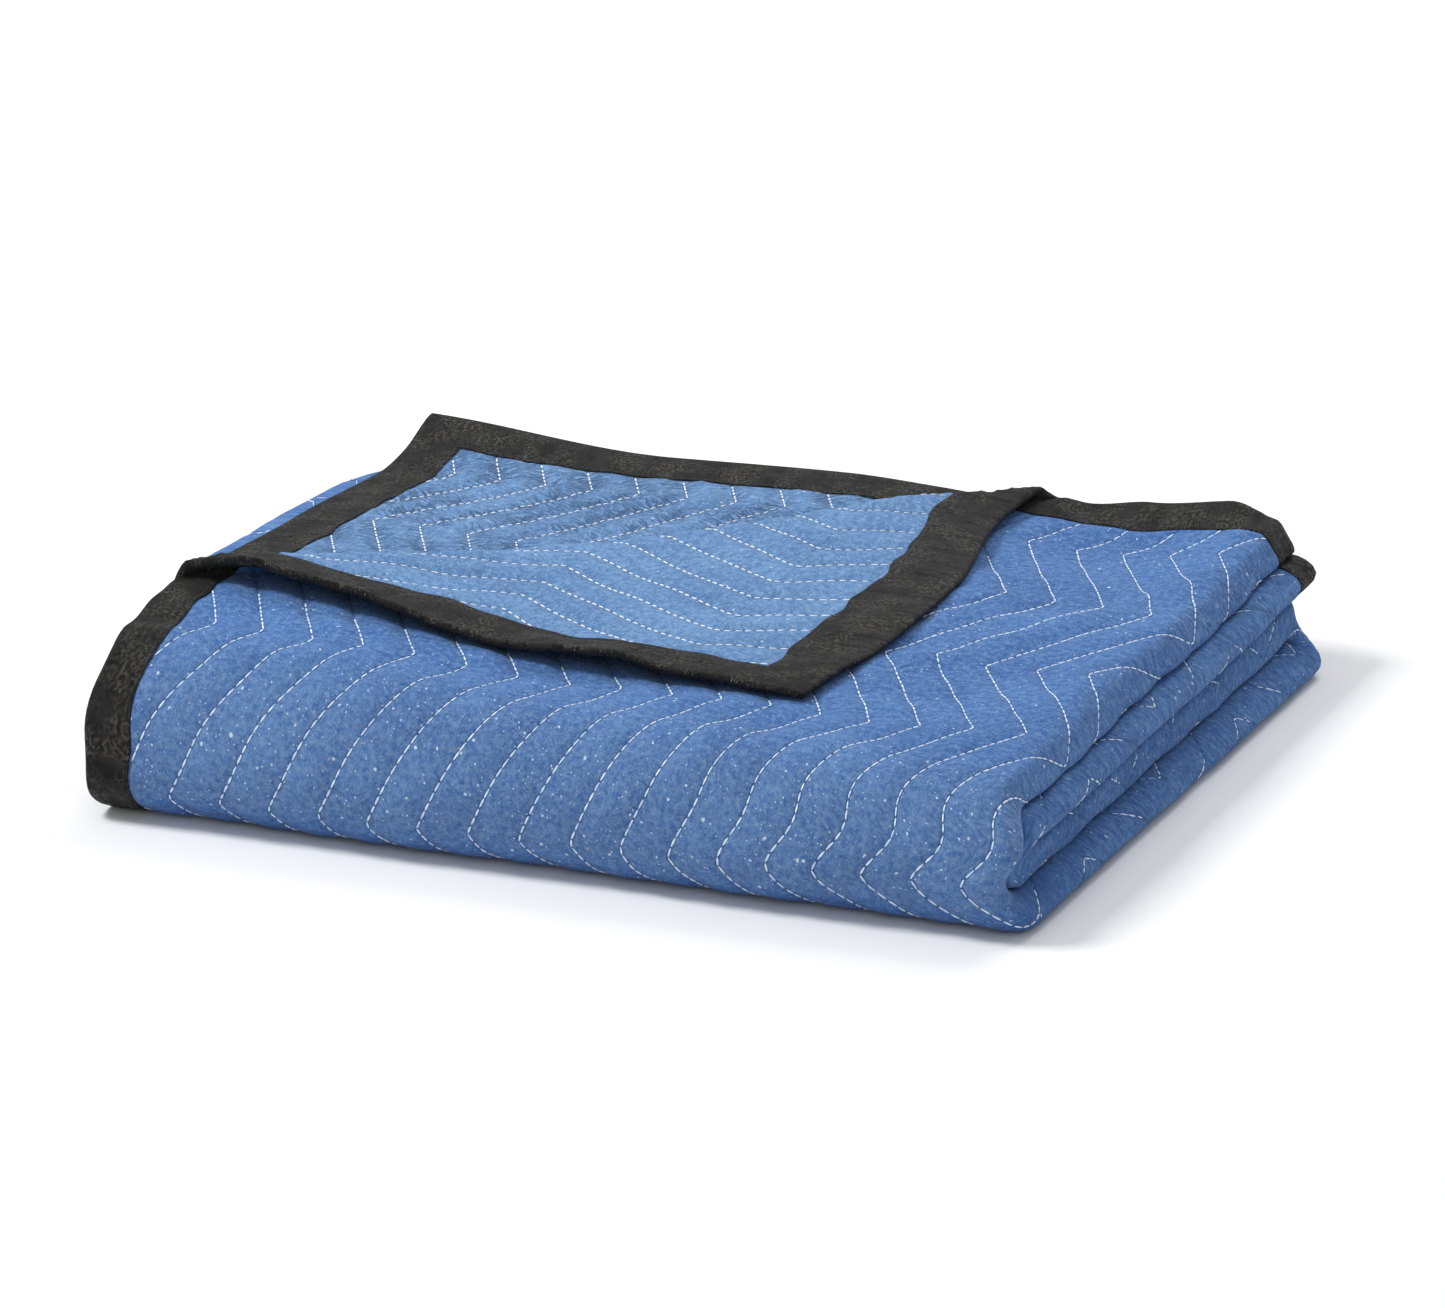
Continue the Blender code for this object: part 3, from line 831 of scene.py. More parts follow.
        # The cloth's v runs towards -Y, so folding turns each face inside out.
        bmesh.ops.reverse_faces(mesh, faces=mesh.faces)
        piece = as_object("folded_quilted_cloth", mesh, [face, reverse])
        add_map(piece, "cloth", u, v)
        add_map(piece, "quilting", *self.cloth.quilting.drawn(u, v))
        return piece


@dataclass
class EdgeTape:
    """The tape that is folded round one edge of the blanket and sewn down."""

    cloth: Cloth
    edge: Edge
    thickness: float = 0.6 * MM
    cell: float = 4 * MM
    hidden_cell: float = 30 * MM
    roll_cell: float = 1.3 * MM
    waver: float = 0.9 * MM
    pucker: float = 0.35 * MM

    @property
    def length(self) -> float:
        """The edge's length."""
        pile = self.cloth.pile
        return pile.cloth_length if self.edge.runs_along_u else pile.cloth_width

    def width(self, side: Side) -> float:
        """Reads how wide the tape is on one side of the cloth."""
        return self.cloth.tape_width if side is Side.FACE else self.cloth.reverse_tape

    def to_cloth(self, along: Array, inward: Array) -> tuple[Array, Array]:
        """Turns distances along the edge and from it into places on the cloth."""
        pile = self.cloth.pile
        depth = pile.cloth_width if self.edge.runs_along_u else pile.cloth_length
        inward = depth - inward if self.edge.far else inward
        return (along, inward) if self.edge.runs_along_u else (inward, along)

    def stations(self) -> Array:
        """Lists places along the tape: close together in the folds and where it shows."""
        pile = self.cloth.pile
        starts = pile.u_starts if self.edge.runs_along_u else pile.v_starts
        places = []
        for run, (low, high) in enumerate(zip(starts[:-1], starts[1:])):
            if run % 2:
                size = min(self.cell, (high - low) / 8)
            else:
                size = self.cell if run in (0, 6) else self.hidden_cell
            places.append(evenly(low, high, math.ceil((high - low) / size)))
        places = np.concatenate([*places, [starts[-1]]])
        if self.edge.far:
            return places
        roll = pile.turn_u if self.edge.runs_along_u else pile.turn_v
        reach = 2.2 * 2 * pile.turn_radius + self.cloth.tape_width
        kept = places[np.abs(places - roll) > reach]
        return np.sort(np.concatenate([kept, np.arange(roll - reach, roll + reach, self.roll_cell)]))

    def across(self) -> tuple[Array, Array]:
        """Lists the tape's cross-section, from its hem on the face round the edge to the reverse.

        Returns:
            Distances from the edge, and heights above the cloth's middle.
        """
        half = self.cloth.pile.panel_half
        flat = np.array([25, 24, 22.6, 21, 17.5, 13, 9, 5.5, 3.2]) * MM
        rise = half + np.array([-0.25, -0.05, -0.2, 0.05, 0.18, 0.2, 0.16, 0.08, 0.0]) * MM
        turn = np.radians(np.linspace(70, -70, 7))
        wider = self.width(Side.REVERSE) / self.width(Side.FACE)
        inward = np.concatenate([flat, half - half * np.cos(turn), flat[::-1] * wider])
        height = np.concatenate([rise, half * np.sin(turn), -rise[::-1]])
        return inward, height

    def build(self, material: bpy.types.Material) -> bpy.types.Object:
        """Builds the folded tape.

        Args:
            material: the tape's material.

        Returns:
            The piece.
        """
        inward, height = self.across()
        stations = self.stations()
        mesh, column, row = grid(len(stations), len(inward))
        along, inset, rise = stations[column], inward[row], height[row]
        full = np.where(rise > 0, self.width(Side.FACE), self.width(Side.REVERSE))
        hem = smooth_step(inset / full, 0.72, 1)
        inset = inset + hem * self.waver * Ripples(28 * MM, 41).at(along, np.sign(rise) * 50 * MM)
        pucker = self.pucker * Ripples(15 * MM, 42).at(along, inset * np.sign(rise))
        rise = rise + np.sign(rise) * pucker * smooth_step(inset, 1 * MM, 6 * MM) * (1 - hem)
        move_to(mesh, np.stack([along, inset, rise], axis=-1))
        self.mitre(mesh)
        mesh.normal_update()
        bmesh.ops.recalc_face_normals(mesh, faces=mesh.faces)
        bmesh.ops.solidify(mesh, geom=mesh.faces[:], thickness=self.thickness)
        along, inset, rise = coordinates(mesh).T
        u, v = self.to_cloth(along, inset)
        move_to(mesh, self.cloth.pile.place(u, v, rise + self.cloth.lift(u, v)))
        bmesh.ops.recalc_face_normals(mesh, faces=mesh.faces)
        piece = as_object("tape_" + self.edge.value.removeprefix("binding_"), mesh, [material])
        add_map(piece, "tape", along, inset + (rise > 0) * 60 * MM)
        return piece

    def mitre(self, mesh: bmesh.types.BMesh) -> None:
        """Cuts both ends of the straight tape at 45 degrees, where it meets its neighbours."""
        short = 0.1 * MM
        for place, away in ((short, -1), (self.length - short, 1)):
            bmesh.ops.bisect_plane(
                mesh, geom=[*mesh.verts, *mesh.edges, *mesh.faces],
                plane_co=(place, 0, 0), plane_no=(away, 1, 0), clear_outer=True,
            )


@dataclass
class Stitches:
    """A run of stitches, each a small bead of thread that lies along its row."""

    cloth: Cloth
    length: float = 4.9 * MM
    pitch: float = 5.3 * MM
    width: float = 1.2 * MM
    height: float = 0.8 * MM
    proud: float = 0.2 * MM
    feeler: float = 0.5 * MM
    seed: int = 51

    def bead(self) -> tuple[Array, Array]:
        """Makes the points and the triangles of one stitch, from -1 to 1 along each axis."""
        mesh = bmesh.new()
        bmesh.ops.create_uvsphere(mesh, u_segments=6, v_segments=5, radius=1)
        bmesh.ops.rotate(mesh, verts=mesh.verts, matrix=Matrix.Rotation(math.pi / 2, 3, "Y"))
        bmesh.ops.triangulate(mesh, faces=mesh.faces)
        mesh.verts.index_update()
        points = coordinates(mesh)
        faces = np.array([[vert.index for vert in face.verts] for face in mesh.faces])
        mesh.free()
        return points, faces

    def joined(
        self, name: str, spots: Array, ahead: Array, up: Array, material: bpy.types.Material
    ) -> bpy.types.Object:
        """Copies the bead to every spot and joins the copies to one mesh.

        Args:
            name: the piece's name.
            spots: where the stitches are, one row each.
            ahead: the half-length vector of each stitch.
            up: the cloth's normal at each stitch.
            material: the thread's material.

        Returns:
            The piece.
        """
        points, faces = self.bead()
        ahead_unit = unit(ahead)
        up = unit(up - ahead_unit * np.sum(up * ahead_unit, axis=1, keepdims=True))
        beside = np.cross(up, ahead_unit)
        places = (
            spots[:, None]
            + points[None, :, 0:1] * ahead[:, None]
            + points[None, :, 1:2] * beside[:, None] * self.width / 2
            + points[None, :, 2:3] * up[:, None] * self.height / 2
        )
        all_faces = faces[None] + (np.arange(len(spots)) * len(points))[:, None, None]
        data = bpy.data.meshes.new(name)
        data.from_pydata(places.reshape(-1, 3).tolist(), [], all_faces.reshape(-1, 3).tolist())
        mesh = bmesh.new()
        mesh.from_mesh(data)
        bpy.data.meshes.remove(data)
        bmesh.ops.recalc_face_normals(mesh, faces=mesh.faces)
        return as_object(name, mesh, [material])

    def along(self, paths: Sequence[Path], side: Side, keep: Choice) -> tuple[Array, Array, Array]:
        """Places stitches along paths on the cloth.

        Args:
            paths: the paths.
            side: the side of the cloth that they show on.
            keep: says for places on the cloth which stitches are made.

        Returns:
            The stitches' places, half-length vectors and normals.
        """
        draw = np.random.default_rng(self.seed)
        ends_of_all: list[Array] = []
        for u, v in paths:
            run = np.concatenate([[0], np.cumsum(np.hypot(np.diff(u), np.diff(v)))])
            count = int(run[-1] / self.pitch)
            at = (np.arange(count) + 0.5 + draw.uniform(-0.07, 0.07, count)) * self.pitch
            half = self.length / 2 * draw.uniform(0.88, 1.08, count)
            ends = [np.stack([np.interp(at + d, run, u), np.interp(at + d, run, v)]) for d in (-half, half)]
            ends_of_all.append(np.stack(ends, axis=-1))
        ends = np.concatenate(ends_of_all, axis=1)
        middle = ends.mean(axis=2)
        kept = keep(*middle)
        ends, middle = ends[:, kept], middle[:, kept]
        start, end = (self.cloth.surface(*ends[:, :, at], side, self.proud) for at in (0, 1))
        spot, higher = (self.cloth.surface(*middle, side, self.proud + more) for more in (0, self.feeler))
        return spot, (end - start) / 2, higher - spot


@dataclass
class QuiltingThread(Stitches):
    """The pale thread of the zigzag quilting, on one side of the cloth."""

    name: str = "quilting_thread_face"
    side: Side = Side.FACE
    inside: float = 26 * MM

    def paths(self) -> list[Path]:
        """Lists the rows, from one edge of the cloth to the other."""
        pile, quilting = self.cloth.pile, self.cloth.quilting
        v = np.arange(self.inside, pile.cloth_width - self.inside, 1 * MM)
        rows = quilting.rows_between(0, pile.cloth_length)
        return [(quilting.line(np.full(len(v), row), v), v) for row in rows]

    def face_shows(self, u: Array, v: Array) -> Array:
        """Says where the face of the folded cloth shows."""
        pile = self.cloth.pile
        starts_u, starts_v = pile.u_starts, pile.v_starts
        outermost = (u > self.inside) & (u < starts_u[1]) & (v < starts_v[4])
        clear = (self.cloth.covered(u, v) < 0.5) & (pile.past_roll(u, v) < math.pi * pile.turn_radius)
        right = (u >= starts_u[1] - 25 * MM) & (u < starts_u[2] + 20 * MM)
        left = (u > starts_u[3] - 9 * MM) & (u < starts_u[4] + 9 * MM)
        return ((outermost & clear) | right | left) & (v > self.inside)

    def reverse_shows(self, u: Array, v: Array) -> Array:
        """Says where the reverse of the folded cloth shows."""
        flap = (self.cloth.in_flap(u, v) > 0.3) & (u > self.inside)
        second = (self.cloth.second_shown(u, v) > 0.2) & (u < self.cloth.pile.cloth_length - self.inside)
        return (flap | (second & (v < 400 * MM))) & (v > self.inside)

    def build(self, material: bpy.types.Material) -> bpy.types.Object:
        """Builds the stitches that show, in the thread's material."""
        shows = self.face_shows if self.side is Side.FACE else self.reverse_shows
        return self.joined(self.name, *self.along(self.paths(), self.side, shows), material)


@dataclass
class TapeSeam(Stitches):
    """The dark seam that holds the tapes, close to their hems."""

    length: float = 2.5 * MM
    pitch: float = 3.3 * MM
    width: float = 0.6 * MM
    height: float = 0.5 * MM
    from_hem: float = 2.6 * MM
    sunk: float = 0.12 * MM

    def build(self, tapes: Sequence[EdgeTape], material: bpy.types.Material) -> bpy.types.Object:
        """Builds the seam on both sides of every tape.

        Args:
            tapes: the tapes.
            material: the thread's material.

        Returns:
            The piece.
        """
        parts: list[tuple[Array, Array, Array]] = []
        for tape in tapes:
            for side in Side:
                inward = tape.width(side) - self.from_hem
                reach = np.arange(inward, tape.length - inward, 1 * MM)
                parts.append(self.on_tape(tape.to_cloth(reach, np.full(len(reach), inward)), side))
        spots, ahead, up = (np.concatenate(group) for group in zip(*parts))
        return self.joined("tape_seam_thread", spots, ahead, up, material)

    def shows(self, u: Array, v: Array) -> Array:
        """Says where the tapes show."""
        pile = self.cloth.pile
        outer = (u < pile.u_starts[2]) & (v < pile.v_starts[4])
        return outer | ((u > pile.u_starts[6]) & (v < pile.v_starts[1]))

    def on_tape(self, path: Path, side: Side) -> tuple[Array, Array, Array]:
        """Places the stitches of one hem on the tape's own surface.

        Args:
            path: the hem.
            side: the side of the cloth.

        Returns:
            The stitches' places, half-length vectors and normals.
        """
        cloth, points = self.cloth, len(path[0])
        level = (cloth.pile.panel_half - self.sunk) * side.value
        count = int((points - 1) * MM / self.pitch)
        at = np.linspace(0, points - 1, count, endpoint=False) + 0.5
        half = self.length / 2 / MM

        def spot(shift: float = 0) -> list[Array]:
            """Finds a point of every stitch on the cloth."""
            return [np.interp(at + shift, np.arange(points), values) for values in path]

        def point(shift: float, above: float = 0) -> Array:
            """Places a point of every stitch."""
            place = spot(shift)
            return cloth.pile.place(*place, cloth.lift(*place) + level + above * side.value)

        kept = self.shows(*spot())
        middle = point(0)
        ahead, up = (point(half) - point(-half)) / 2, point(0, self.feeler) - middle
        return middle[kept], ahead[kept], up[kept]


class NodeGraph:
    """A material's nodes, added one by one. What goes into a node is a number, a tuple or an output."""

    def __init__(self, name: str) -> None:
        """Starts a material with this name."""
        self.material = bpy.data.materials.new(name)
        self.material.use_nodes = True
        self.tree = self.material.node_tree
        self.shader = self.tree.nodes["Principled BSDF"]

    def connect(self, value: object, socket: bpy.types.NodeSocket) -> None:
        """Sets a socket to a number or a tuple, or links an output to it."""
        if isinstance(value, bpy.types.NodeSocket):
            self.tree.links.new(value, socket)
        else:
            socket.default_value = value

    def node(self, kind: str, inputs: dict[str | int, object], **settings: object) -> bpy.types.Node:
        """Adds a node, with its inputs by name or number, and its other settings."""
        made = self.tree.nodes.new(kind)
        for key, value in settings.items():
            setattr(made, key, value)
        for key, value in inputs.items():
            self.connect(value, made.inputs[key])
        return made

    def maths(self, operation: str, *values: object) -> object:
        """Adds a Math node and gives its output."""
        return self.node("ShaderNodeMath", dict(enumerate(values)), operation=operation).outputs[0]

    def product(self, first: object, *others: object) -> object:
        """Multiplies values and gives the last output."""
        for other in others:
            first = self.maths("MULTIPLY", first, other)
        return first

    def total(self, *parts: tuple[object, float]) -> object:
        """Adds up values, each times its amount, and gives the last output."""
        added: object = 0.0
        for value, amount in parts:
            added = self.maths("MULTIPLY_ADD", value, amount, added)
        return added

    def between(
        self, value: object, low: float, high: float, to_low: float = 0.0, to_high: float = 1.0
    ) -> object:
        """Adds a smooth Map Range node and gives its output."""
        inputs = {"Value": value, "From Min": low, "From Max": high, "To Min": to_low, "To Max": to_high}
        return self.node("ShaderNodeMapRange", inputs, interpolation_type="SMOOTHSTEP").outputs[0]

    def noise(self, vector: object, scale: float, detail: float = 3.0, roughness: float = 0.55) -> object:
        """Adds a Noise node and gives its height."""
        inputs = {"Vector": vector, "Scale": scale, "Detail": detail, "Roughness": roughness}
        return self.node("ShaderNodeTexNoise", inputs).outputs[0]

    def streaks(self, vector: object, scale: tuple[float, float], turn: float, detail: float) -> object:
        """Adds noise that is stretched and then turned, and gives its height."""
        inputs = {"Vector": vector, "Scale": (*scale, 1.0), "Rotation": (0.0, 0.0, turn)}
        return self.noise(self.node("ShaderNodeMapping", inputs).outputs[0], 1.0, detail, 0.6)

    def blend(self, share: object, first: object, second: object) -> object:
        """Adds a Mix node for colours and gives its output."""
        made = self.node("ShaderNodeMix", {}, data_type="RGBA")
        for key, value in ((0, share), (6, first), (7, second)):
            self.connect((*value, 1.0) if isinstance(value, tuple) else value, made.inputs[key])
        return made.outputs[2]

    def painted(self, colour: object, *coats: tuple[object, float, Colour]) -> object:
        """Lays coats over a colour, each with its mask, its amount and its own colour."""
        for mask, amount, tint in coats:
            colour = self.blend(self.product(mask, amount), colour, tint)
        return colour

    def map(self, name: str) -> object:
        """Reads a UV map as a vector in metres."""
        return self.node("ShaderNodeUVMap", {}, uv_map=name).outputs[0]

    def place(self) -> object:
        """Reads the Object coordinates."""
        return self.node("ShaderNodeTexCoord", {}).outputs["Object"]

    def split(self, vector: object) -> list[object]:
        """Reads a vector's three parts."""
        return list(self.node("ShaderNodeSeparateXYZ", {0: vector}).outputs)

    def bumped(self, height: object, distance: float) -> None:
        """Sends a height, in units of distance, to the shader's normal."""
        inputs = {"Height": height, "Distance": distance, "Strength": 1.0}
        self.connect(self.node("ShaderNodeBump", inputs).outputs[0], self.shader.inputs["Normal"])

    def finished(
        self, colour: object, roughness: object, specular: float, sheen: tuple[float, float] = (0.0, 0.5)
    ) -> bpy.types.Material:
        """Sets the shader and gives the material.

        Args:
            colour: the base colour.
            roughness: how dull it is.
            specular: the level of the reflection.
            sheen: the sheen's weight and roughness.

        Returns:
            The material.
        """
        weight, spread = sheen
        for name, value in {
            "Base Color": colour, "Roughness": roughness, "Specular IOR Level": specular,
            "Sheen Weight": weight, "Sheen Roughness": spread,
        }.items():
            self.connect(value, self.shader.inputs[name])
        return self.material


@dataclass(frozen=True)
class NonwovenCloth:
    """The finish of one side of the quilted cloth: soft nonwoven fibre, mottled, drawn in at the rows."""

    name: str
    colour: Colour
    deep: Colour
    faded: Colour
    lint: Colour
    wrinkles: float
    second_wrinkles: float
    rubbed: Colour = (0.18, 0.27, 0.41)
    groove: float = 0.5
    worn: float = 0.0
    # Scale, roughness and height in mm of the soft dents, the small dents and the felted fibre.
    dents: tuple[tuple[float, float, float], ...] = ((62.0, 0.6, 1.3), (170.0, 0.6, 0.8), (1100.0, 0.7, 0.16))
    # Spacing and size of the large and the small flecks.
    flecks: tuple[tuple[float, float], ...] = ((6 * MM, 1.5 * MM), (2.6 * MM, 0.75 * MM))

    def rows(self, graph: NodeGraph, quilting: Quilting) -> tuple[object, object]:
        """Reads where a point lies between the zigzag rows.

        Args:
            graph: the material's nodes.
            quilting: the rows.

        Returns:
            The share of the pitch from the nearest row, and a place for creases, which run away from the
            rows at right angles.
        """
        pattern = graph.split(graph.map("quilting"))
        turns = graph.maths("DIVIDE", graph.maths("SUBTRACT", pattern[1], quilting.first_turn), quilting.step)
        shift = graph.product(graph.maths("PINGPONG", turns, 1.0), quilting.reach)
        beside = graph.maths("SUBTRACT", graph.maths("SUBTRACT", pattern[0], quilting.first_row), shift)
        rows = graph.maths("ADD", graph.maths("DIVIDE", beside, quilting.row_pitch), 0.5)
        off_row = graph.maths("SUBTRACT", graph.maths("FRACT", rows), 0.5)
        lean = graph.between(graph.maths("SINE", graph.product(turns, math.pi)), -0.35, 0.35, -0.5, 0.5)
        slanted = graph.maths("MULTIPLY_ADD", lean, graph.product(off_row, quilting.row_pitch), pattern[1])
        scaled = ((beside, 75.0), (slanted, 270.0), (graph.maths("FLOOR", rows), 3.7))
        inputs = {axis: graph.product(*pair) for axis, pair in enumerate(scaled)}
        return graph.maths("ABSOLUTE", off_row), graph.node("ShaderNodeCombineXYZ", inputs).outputs[0]

    def specks(self, graph: NodeGraph, place: object, spacing: float, size: float, share: object) -> object:
        """Scatters small flecks of lint.

        Args:
            graph: the material's nodes.
            place: the place on the cloth.
            spacing: how far apart they may be.
            size: their width.
            share: how many of the places hold one, from 0 to 1.

        Returns:
            1 on a fleck and 0 beside it.
        """
        bent = graph.node("ShaderNodeTexNoise", {"Vector": place, "Scale": 0.6 / size}).outputs[1]
        inputs = {0: bent, "Scale": 1.3 * size}
        moved = graph.node("ShaderNodeVectorMath", inputs, operation="SCALE").outputs[0]
        where = graph.node("ShaderNodeVectorMath", {0: place, 1: moved}, operation="ADD").outputs[0]
        cells = graph.node("ShaderNodeTexVoronoi", {"Vector": where, "Scale": 1 / spacing}).outputs
        chance = graph.node("ShaderNodeSeparateColor", {0: cells[1]}).outputs
        radius = graph.maths("MULTIPLY_ADD", chance[1], 0.35 * size / spacing, 0.25 * size / spacing)
        near = graph.maths("LESS_THAN", cells[0], radius)
        return graph.product(near, graph.maths("LESS_THAN", chance[0], share))

    def relief(
        self, graph: NodeGraph, place: object, amount: object, off_row: object, crease_place: object
    ) -> tuple[object, object]:
        """Bumps the surface: creases away from the rows, dents, felted fibre and the needle's groove.

        Args:
            graph: the material's nodes.
            place: the place on the cloth.
            amount: how deep the creases are.
            off_row, crease_place: what the rows give.

        Returns:
            The creases' valleys and the groove, which also carry painted shade in the colour.
        """
        crease = graph.maths("SUBTRACT", graph.noise(crease_place, 1.0, 2.5, 0.5), 0.5)
        valley = graph.product(
            graph.between(graph.maths("ABSOLUTE", crease), 0.0, 0.11, 1.0, 0.0),
            graph.between(off_row, 0.1, 0.5, 1.0, 0.55),
            graph.between(graph.noise(place, 28.0, 2.0), 0.35, 0.6, 0.35, 1.0),
            amount,
        )
        groove = graph.between(off_row, 0.0, 0.06, 1.0, 0.0)
        dents = [(graph.noise(place, scale, 3.0, rough), height) for scale, rough, height in self.dents]
        graph.bumped(graph.total((valley, -0.85), (crease, 1.1), *dents, (groove, -self.groove)), 1 * MM)
        return valley, groove

    def worn_front_and_painted_shade(
        self, graph: NodeGraph, place: object, along: object, colour: object, share: object
    ) -> tuple[object, object]:
        """Rubs the front fold pale where it is worn, and paints shade on the band below it where the fold
        turns under; gives the new colour and share of lint.
        """
        low = graph.product(graph.between(along, 0.40, 0.47), graph.between(along, 0.50, 0.517, 1.0, 0.0))
        rubbed = graph.between(graph.noise(place, 330.0, 4.0, 0.75), 0.4, 0.66)
        rubbed = graph.product(low, graph.maths("MULTIPLY_ADD", rubbed, 0.5, 0.08))
        # Painted shade: the band where the front fold turns under is darkened.
        under = graph.product(graph.between(along, 0.508, 0.524), graph.between(along, 0.552, 0.6, 1.0, 0.0))
        colour = graph.painted(colour, (rubbed, self.worn, self.rubbed), (under, 0.55, self.deep))
        return colour, graph.maths("MULTIPLY_ADD", low, 0.4, share)

    def material(self, quilting: Quilting) -> bpy.types.Material:
        """Makes the material, whose wrinkles and grooves follow the quilting."""
        graph = NodeGraph(self.name)
        place = graph.map("cloth")
        across, along, _ = graph.split(place)
        amount = graph.between(across, 1.2, 1.4, self.wrinkles, self.second_wrinkles)
        valley, groove = self.relief(graph, place, amount, *self.rows(graph, quilting))
        # Colour: clouds, mottling, single fibres, wear and pale lint, then painted shade at the bottom of the
        # front fold, in the crease valleys and in the needle's groove.
        cloud = graph.between(graph.noise(place, 16.0, 3.0, 0.55), 0.35, 0.65)
        mottle, grain = graph.noise(place, 250.0, 4.0, 0.72), graph.noise(place, 900.0, 2.0, 0.7)
        tone = graph.total((mottle, 0.62), (grain, 0.38))
        strands = [
            graph.streaks(place, (380.0, 1500.0), 0.6, 2.0),
            graph.streaks(place, (1500.0, 380.0), 0.5, 2.0),
        ]
        colour = graph.painted(
            self.colour,
            (cloud, 0.6, self.deep),
            (graph.between(tone, 0.51, 0.40), 0.85, self.deep),
            (graph.between(tone, 0.49, 0.60), 0.65, self.faded),
            (graph.between(graph.maths("MAXIMUM", *strands), 0.56, 0.74), 0.4, self.faded),
        )
        share = graph.between(graph.noise(place, 24.0, 3.0, 0.6), 0.42, 0.66, 0.12, 0.6)
        if self.worn:
            colour, share = self.worn_front_and_painted_shade(graph, place, along, colour, share)
        flecks = [(self.specks(graph, place, *fleck, share), 0.75, self.lint) for fleck in self.flecks]
        # Painted shade: the crease valleys and the needle's groove are darkened.
        darker = tuple(0.55 * part for part in self.deep)
        colour = graph.painted(colour, *flecks, (valley, 0.3, darker), (groove, 0.35, darker))
        graph.shader.inputs["Sheen Tint"].default_value = (0.65, 0.8, 1.0, 1.0)
        return graph.finished(colour, graph.between(tone, 0.3, 0.7, 0.98, 0.86), 0.15, (0.12, 0.5))


@dataclass(frozen=True)
class TwillTape:
    """The finish of the tapes: near-black woven twill, with painted shade in its puckers and painted glints
    on its ribs in patches.
    """

    name: str
    colour: Colour = (0.0100, 0.0096, 0.0092)
    deep: Colour = (0.0030, 0.0029, 0.0030)
    glint: Colour = (0.40, 0.375, 0.345)
    dust: Colour = (0.034, 0.033, 0.032)
    rib: float = 1.3 * MM
    pick: float = 0.9 * MM

    def material(self) -> bpy.types.Material:
        """Makes the material."""
        graph = NodeGraph(self.name)
        place = graph.map("tape")
        along, inward, _ = graph.split(place)
        waver = graph.product(graph.noise(place, 240.0, 2.0), 0.6 * MM)
        diagonal = graph.maths("ADD", graph.maths("ADD", along, inward), waver)
        crossing = graph.maths("SUBTRACT", along, inward)
        ribs, picks = (
            graph.maths("SINE", graph.product(way, 2 * math.pi / size))
            for way, size in ((diagonal, self.rib), (crossing, self.pick))
        )
        weave = graph.maths("MULTIPLY_ADD", picks, 0.6, ribs)
        puckers = graph.streaks(place, (150.0, 55.0), 0.7, 3.0)
        soft = graph.noise(place, 60.0, 3.0, 0.6)
        graph.bumped(graph.total((weave, 0.13), (puckers, 3.4), (soft, 1.6)), 1 * MM)
        lit = graph.between(weave, 0.5, 1.5)
        zones = graph.between(graph.noise(place, 46.0, 3.0, 0.6), 0.42, 0.6, 0.1, 1.0)
        spark = graph.between(graph.noise(place, 480.0, 2.0, 0.7), 0.46, 0.58)
        dust = graph.between(graph.noise(place, 80.0, 4.0, 0.7), 0.42, 0.68)
        # Painted shade: the hollows of the puckers are darker.
        colour = graph.blend(graph.between(puckers, 0.4, 0.62), self.deep, self.colour)
        # Painted highlight: glints on the weave's ribs, in patches.
        colour = graph.blend(graph.product(lit, zones, spark), colour, self.glint)
        colour = graph.painted(colour, (dust, 0.4, self.dust))
        return graph.finished(colour, graph.between(lit, 0.0, 1.0, 0.8, 0.5), 0.18, (0.03, 0.4))


@dataclass(frozen=True)
class SewingThread:
    """The finish of a thread: fine twisted fibre."""

    name: str
    colour: Colour
    shade: Colour
    sheen: float = 0.3

    def material(self) -> bpy.types.Material:
        """Makes the material."""
        graph = NodeGraph(self.name)
        place = graph.place()
        uneven = graph.between(graph.noise(place, 260.0, 3.0, 0.6), 0.35, 0.65)
        twist = graph.noise(place, 3200.0, 2.0, 0.6)
        graph.bumped(twist, 0.15 * MM)
        colour = graph.blend(uneven, self.colour, self.shade)
        return graph.finished(colour, graph.between(twist, 0.3, 0.7, 0.55, 0.8), 0.5, (self.sheen, 0.4))


@dataclass(frozen=True)
class PaleFloor:
    """The finish of the studio's floor."""

    name: str = "pale_floor_paint"
    colour: Colour = (0.86, 0.86, 0.87)

    def material(self) -> bpy.types.Material:
        """Makes the material."""
        graph = NodeGraph(self.name)
        tone = graph.between(graph.noise(graph.place(), 3.0, 3.0), 0.3, 0.7)
        darker = tuple(0.985 * part for part in self.colour)
        return graph.finished(graph.blend(tone, self.colour, darker), 0.8, 0.5)


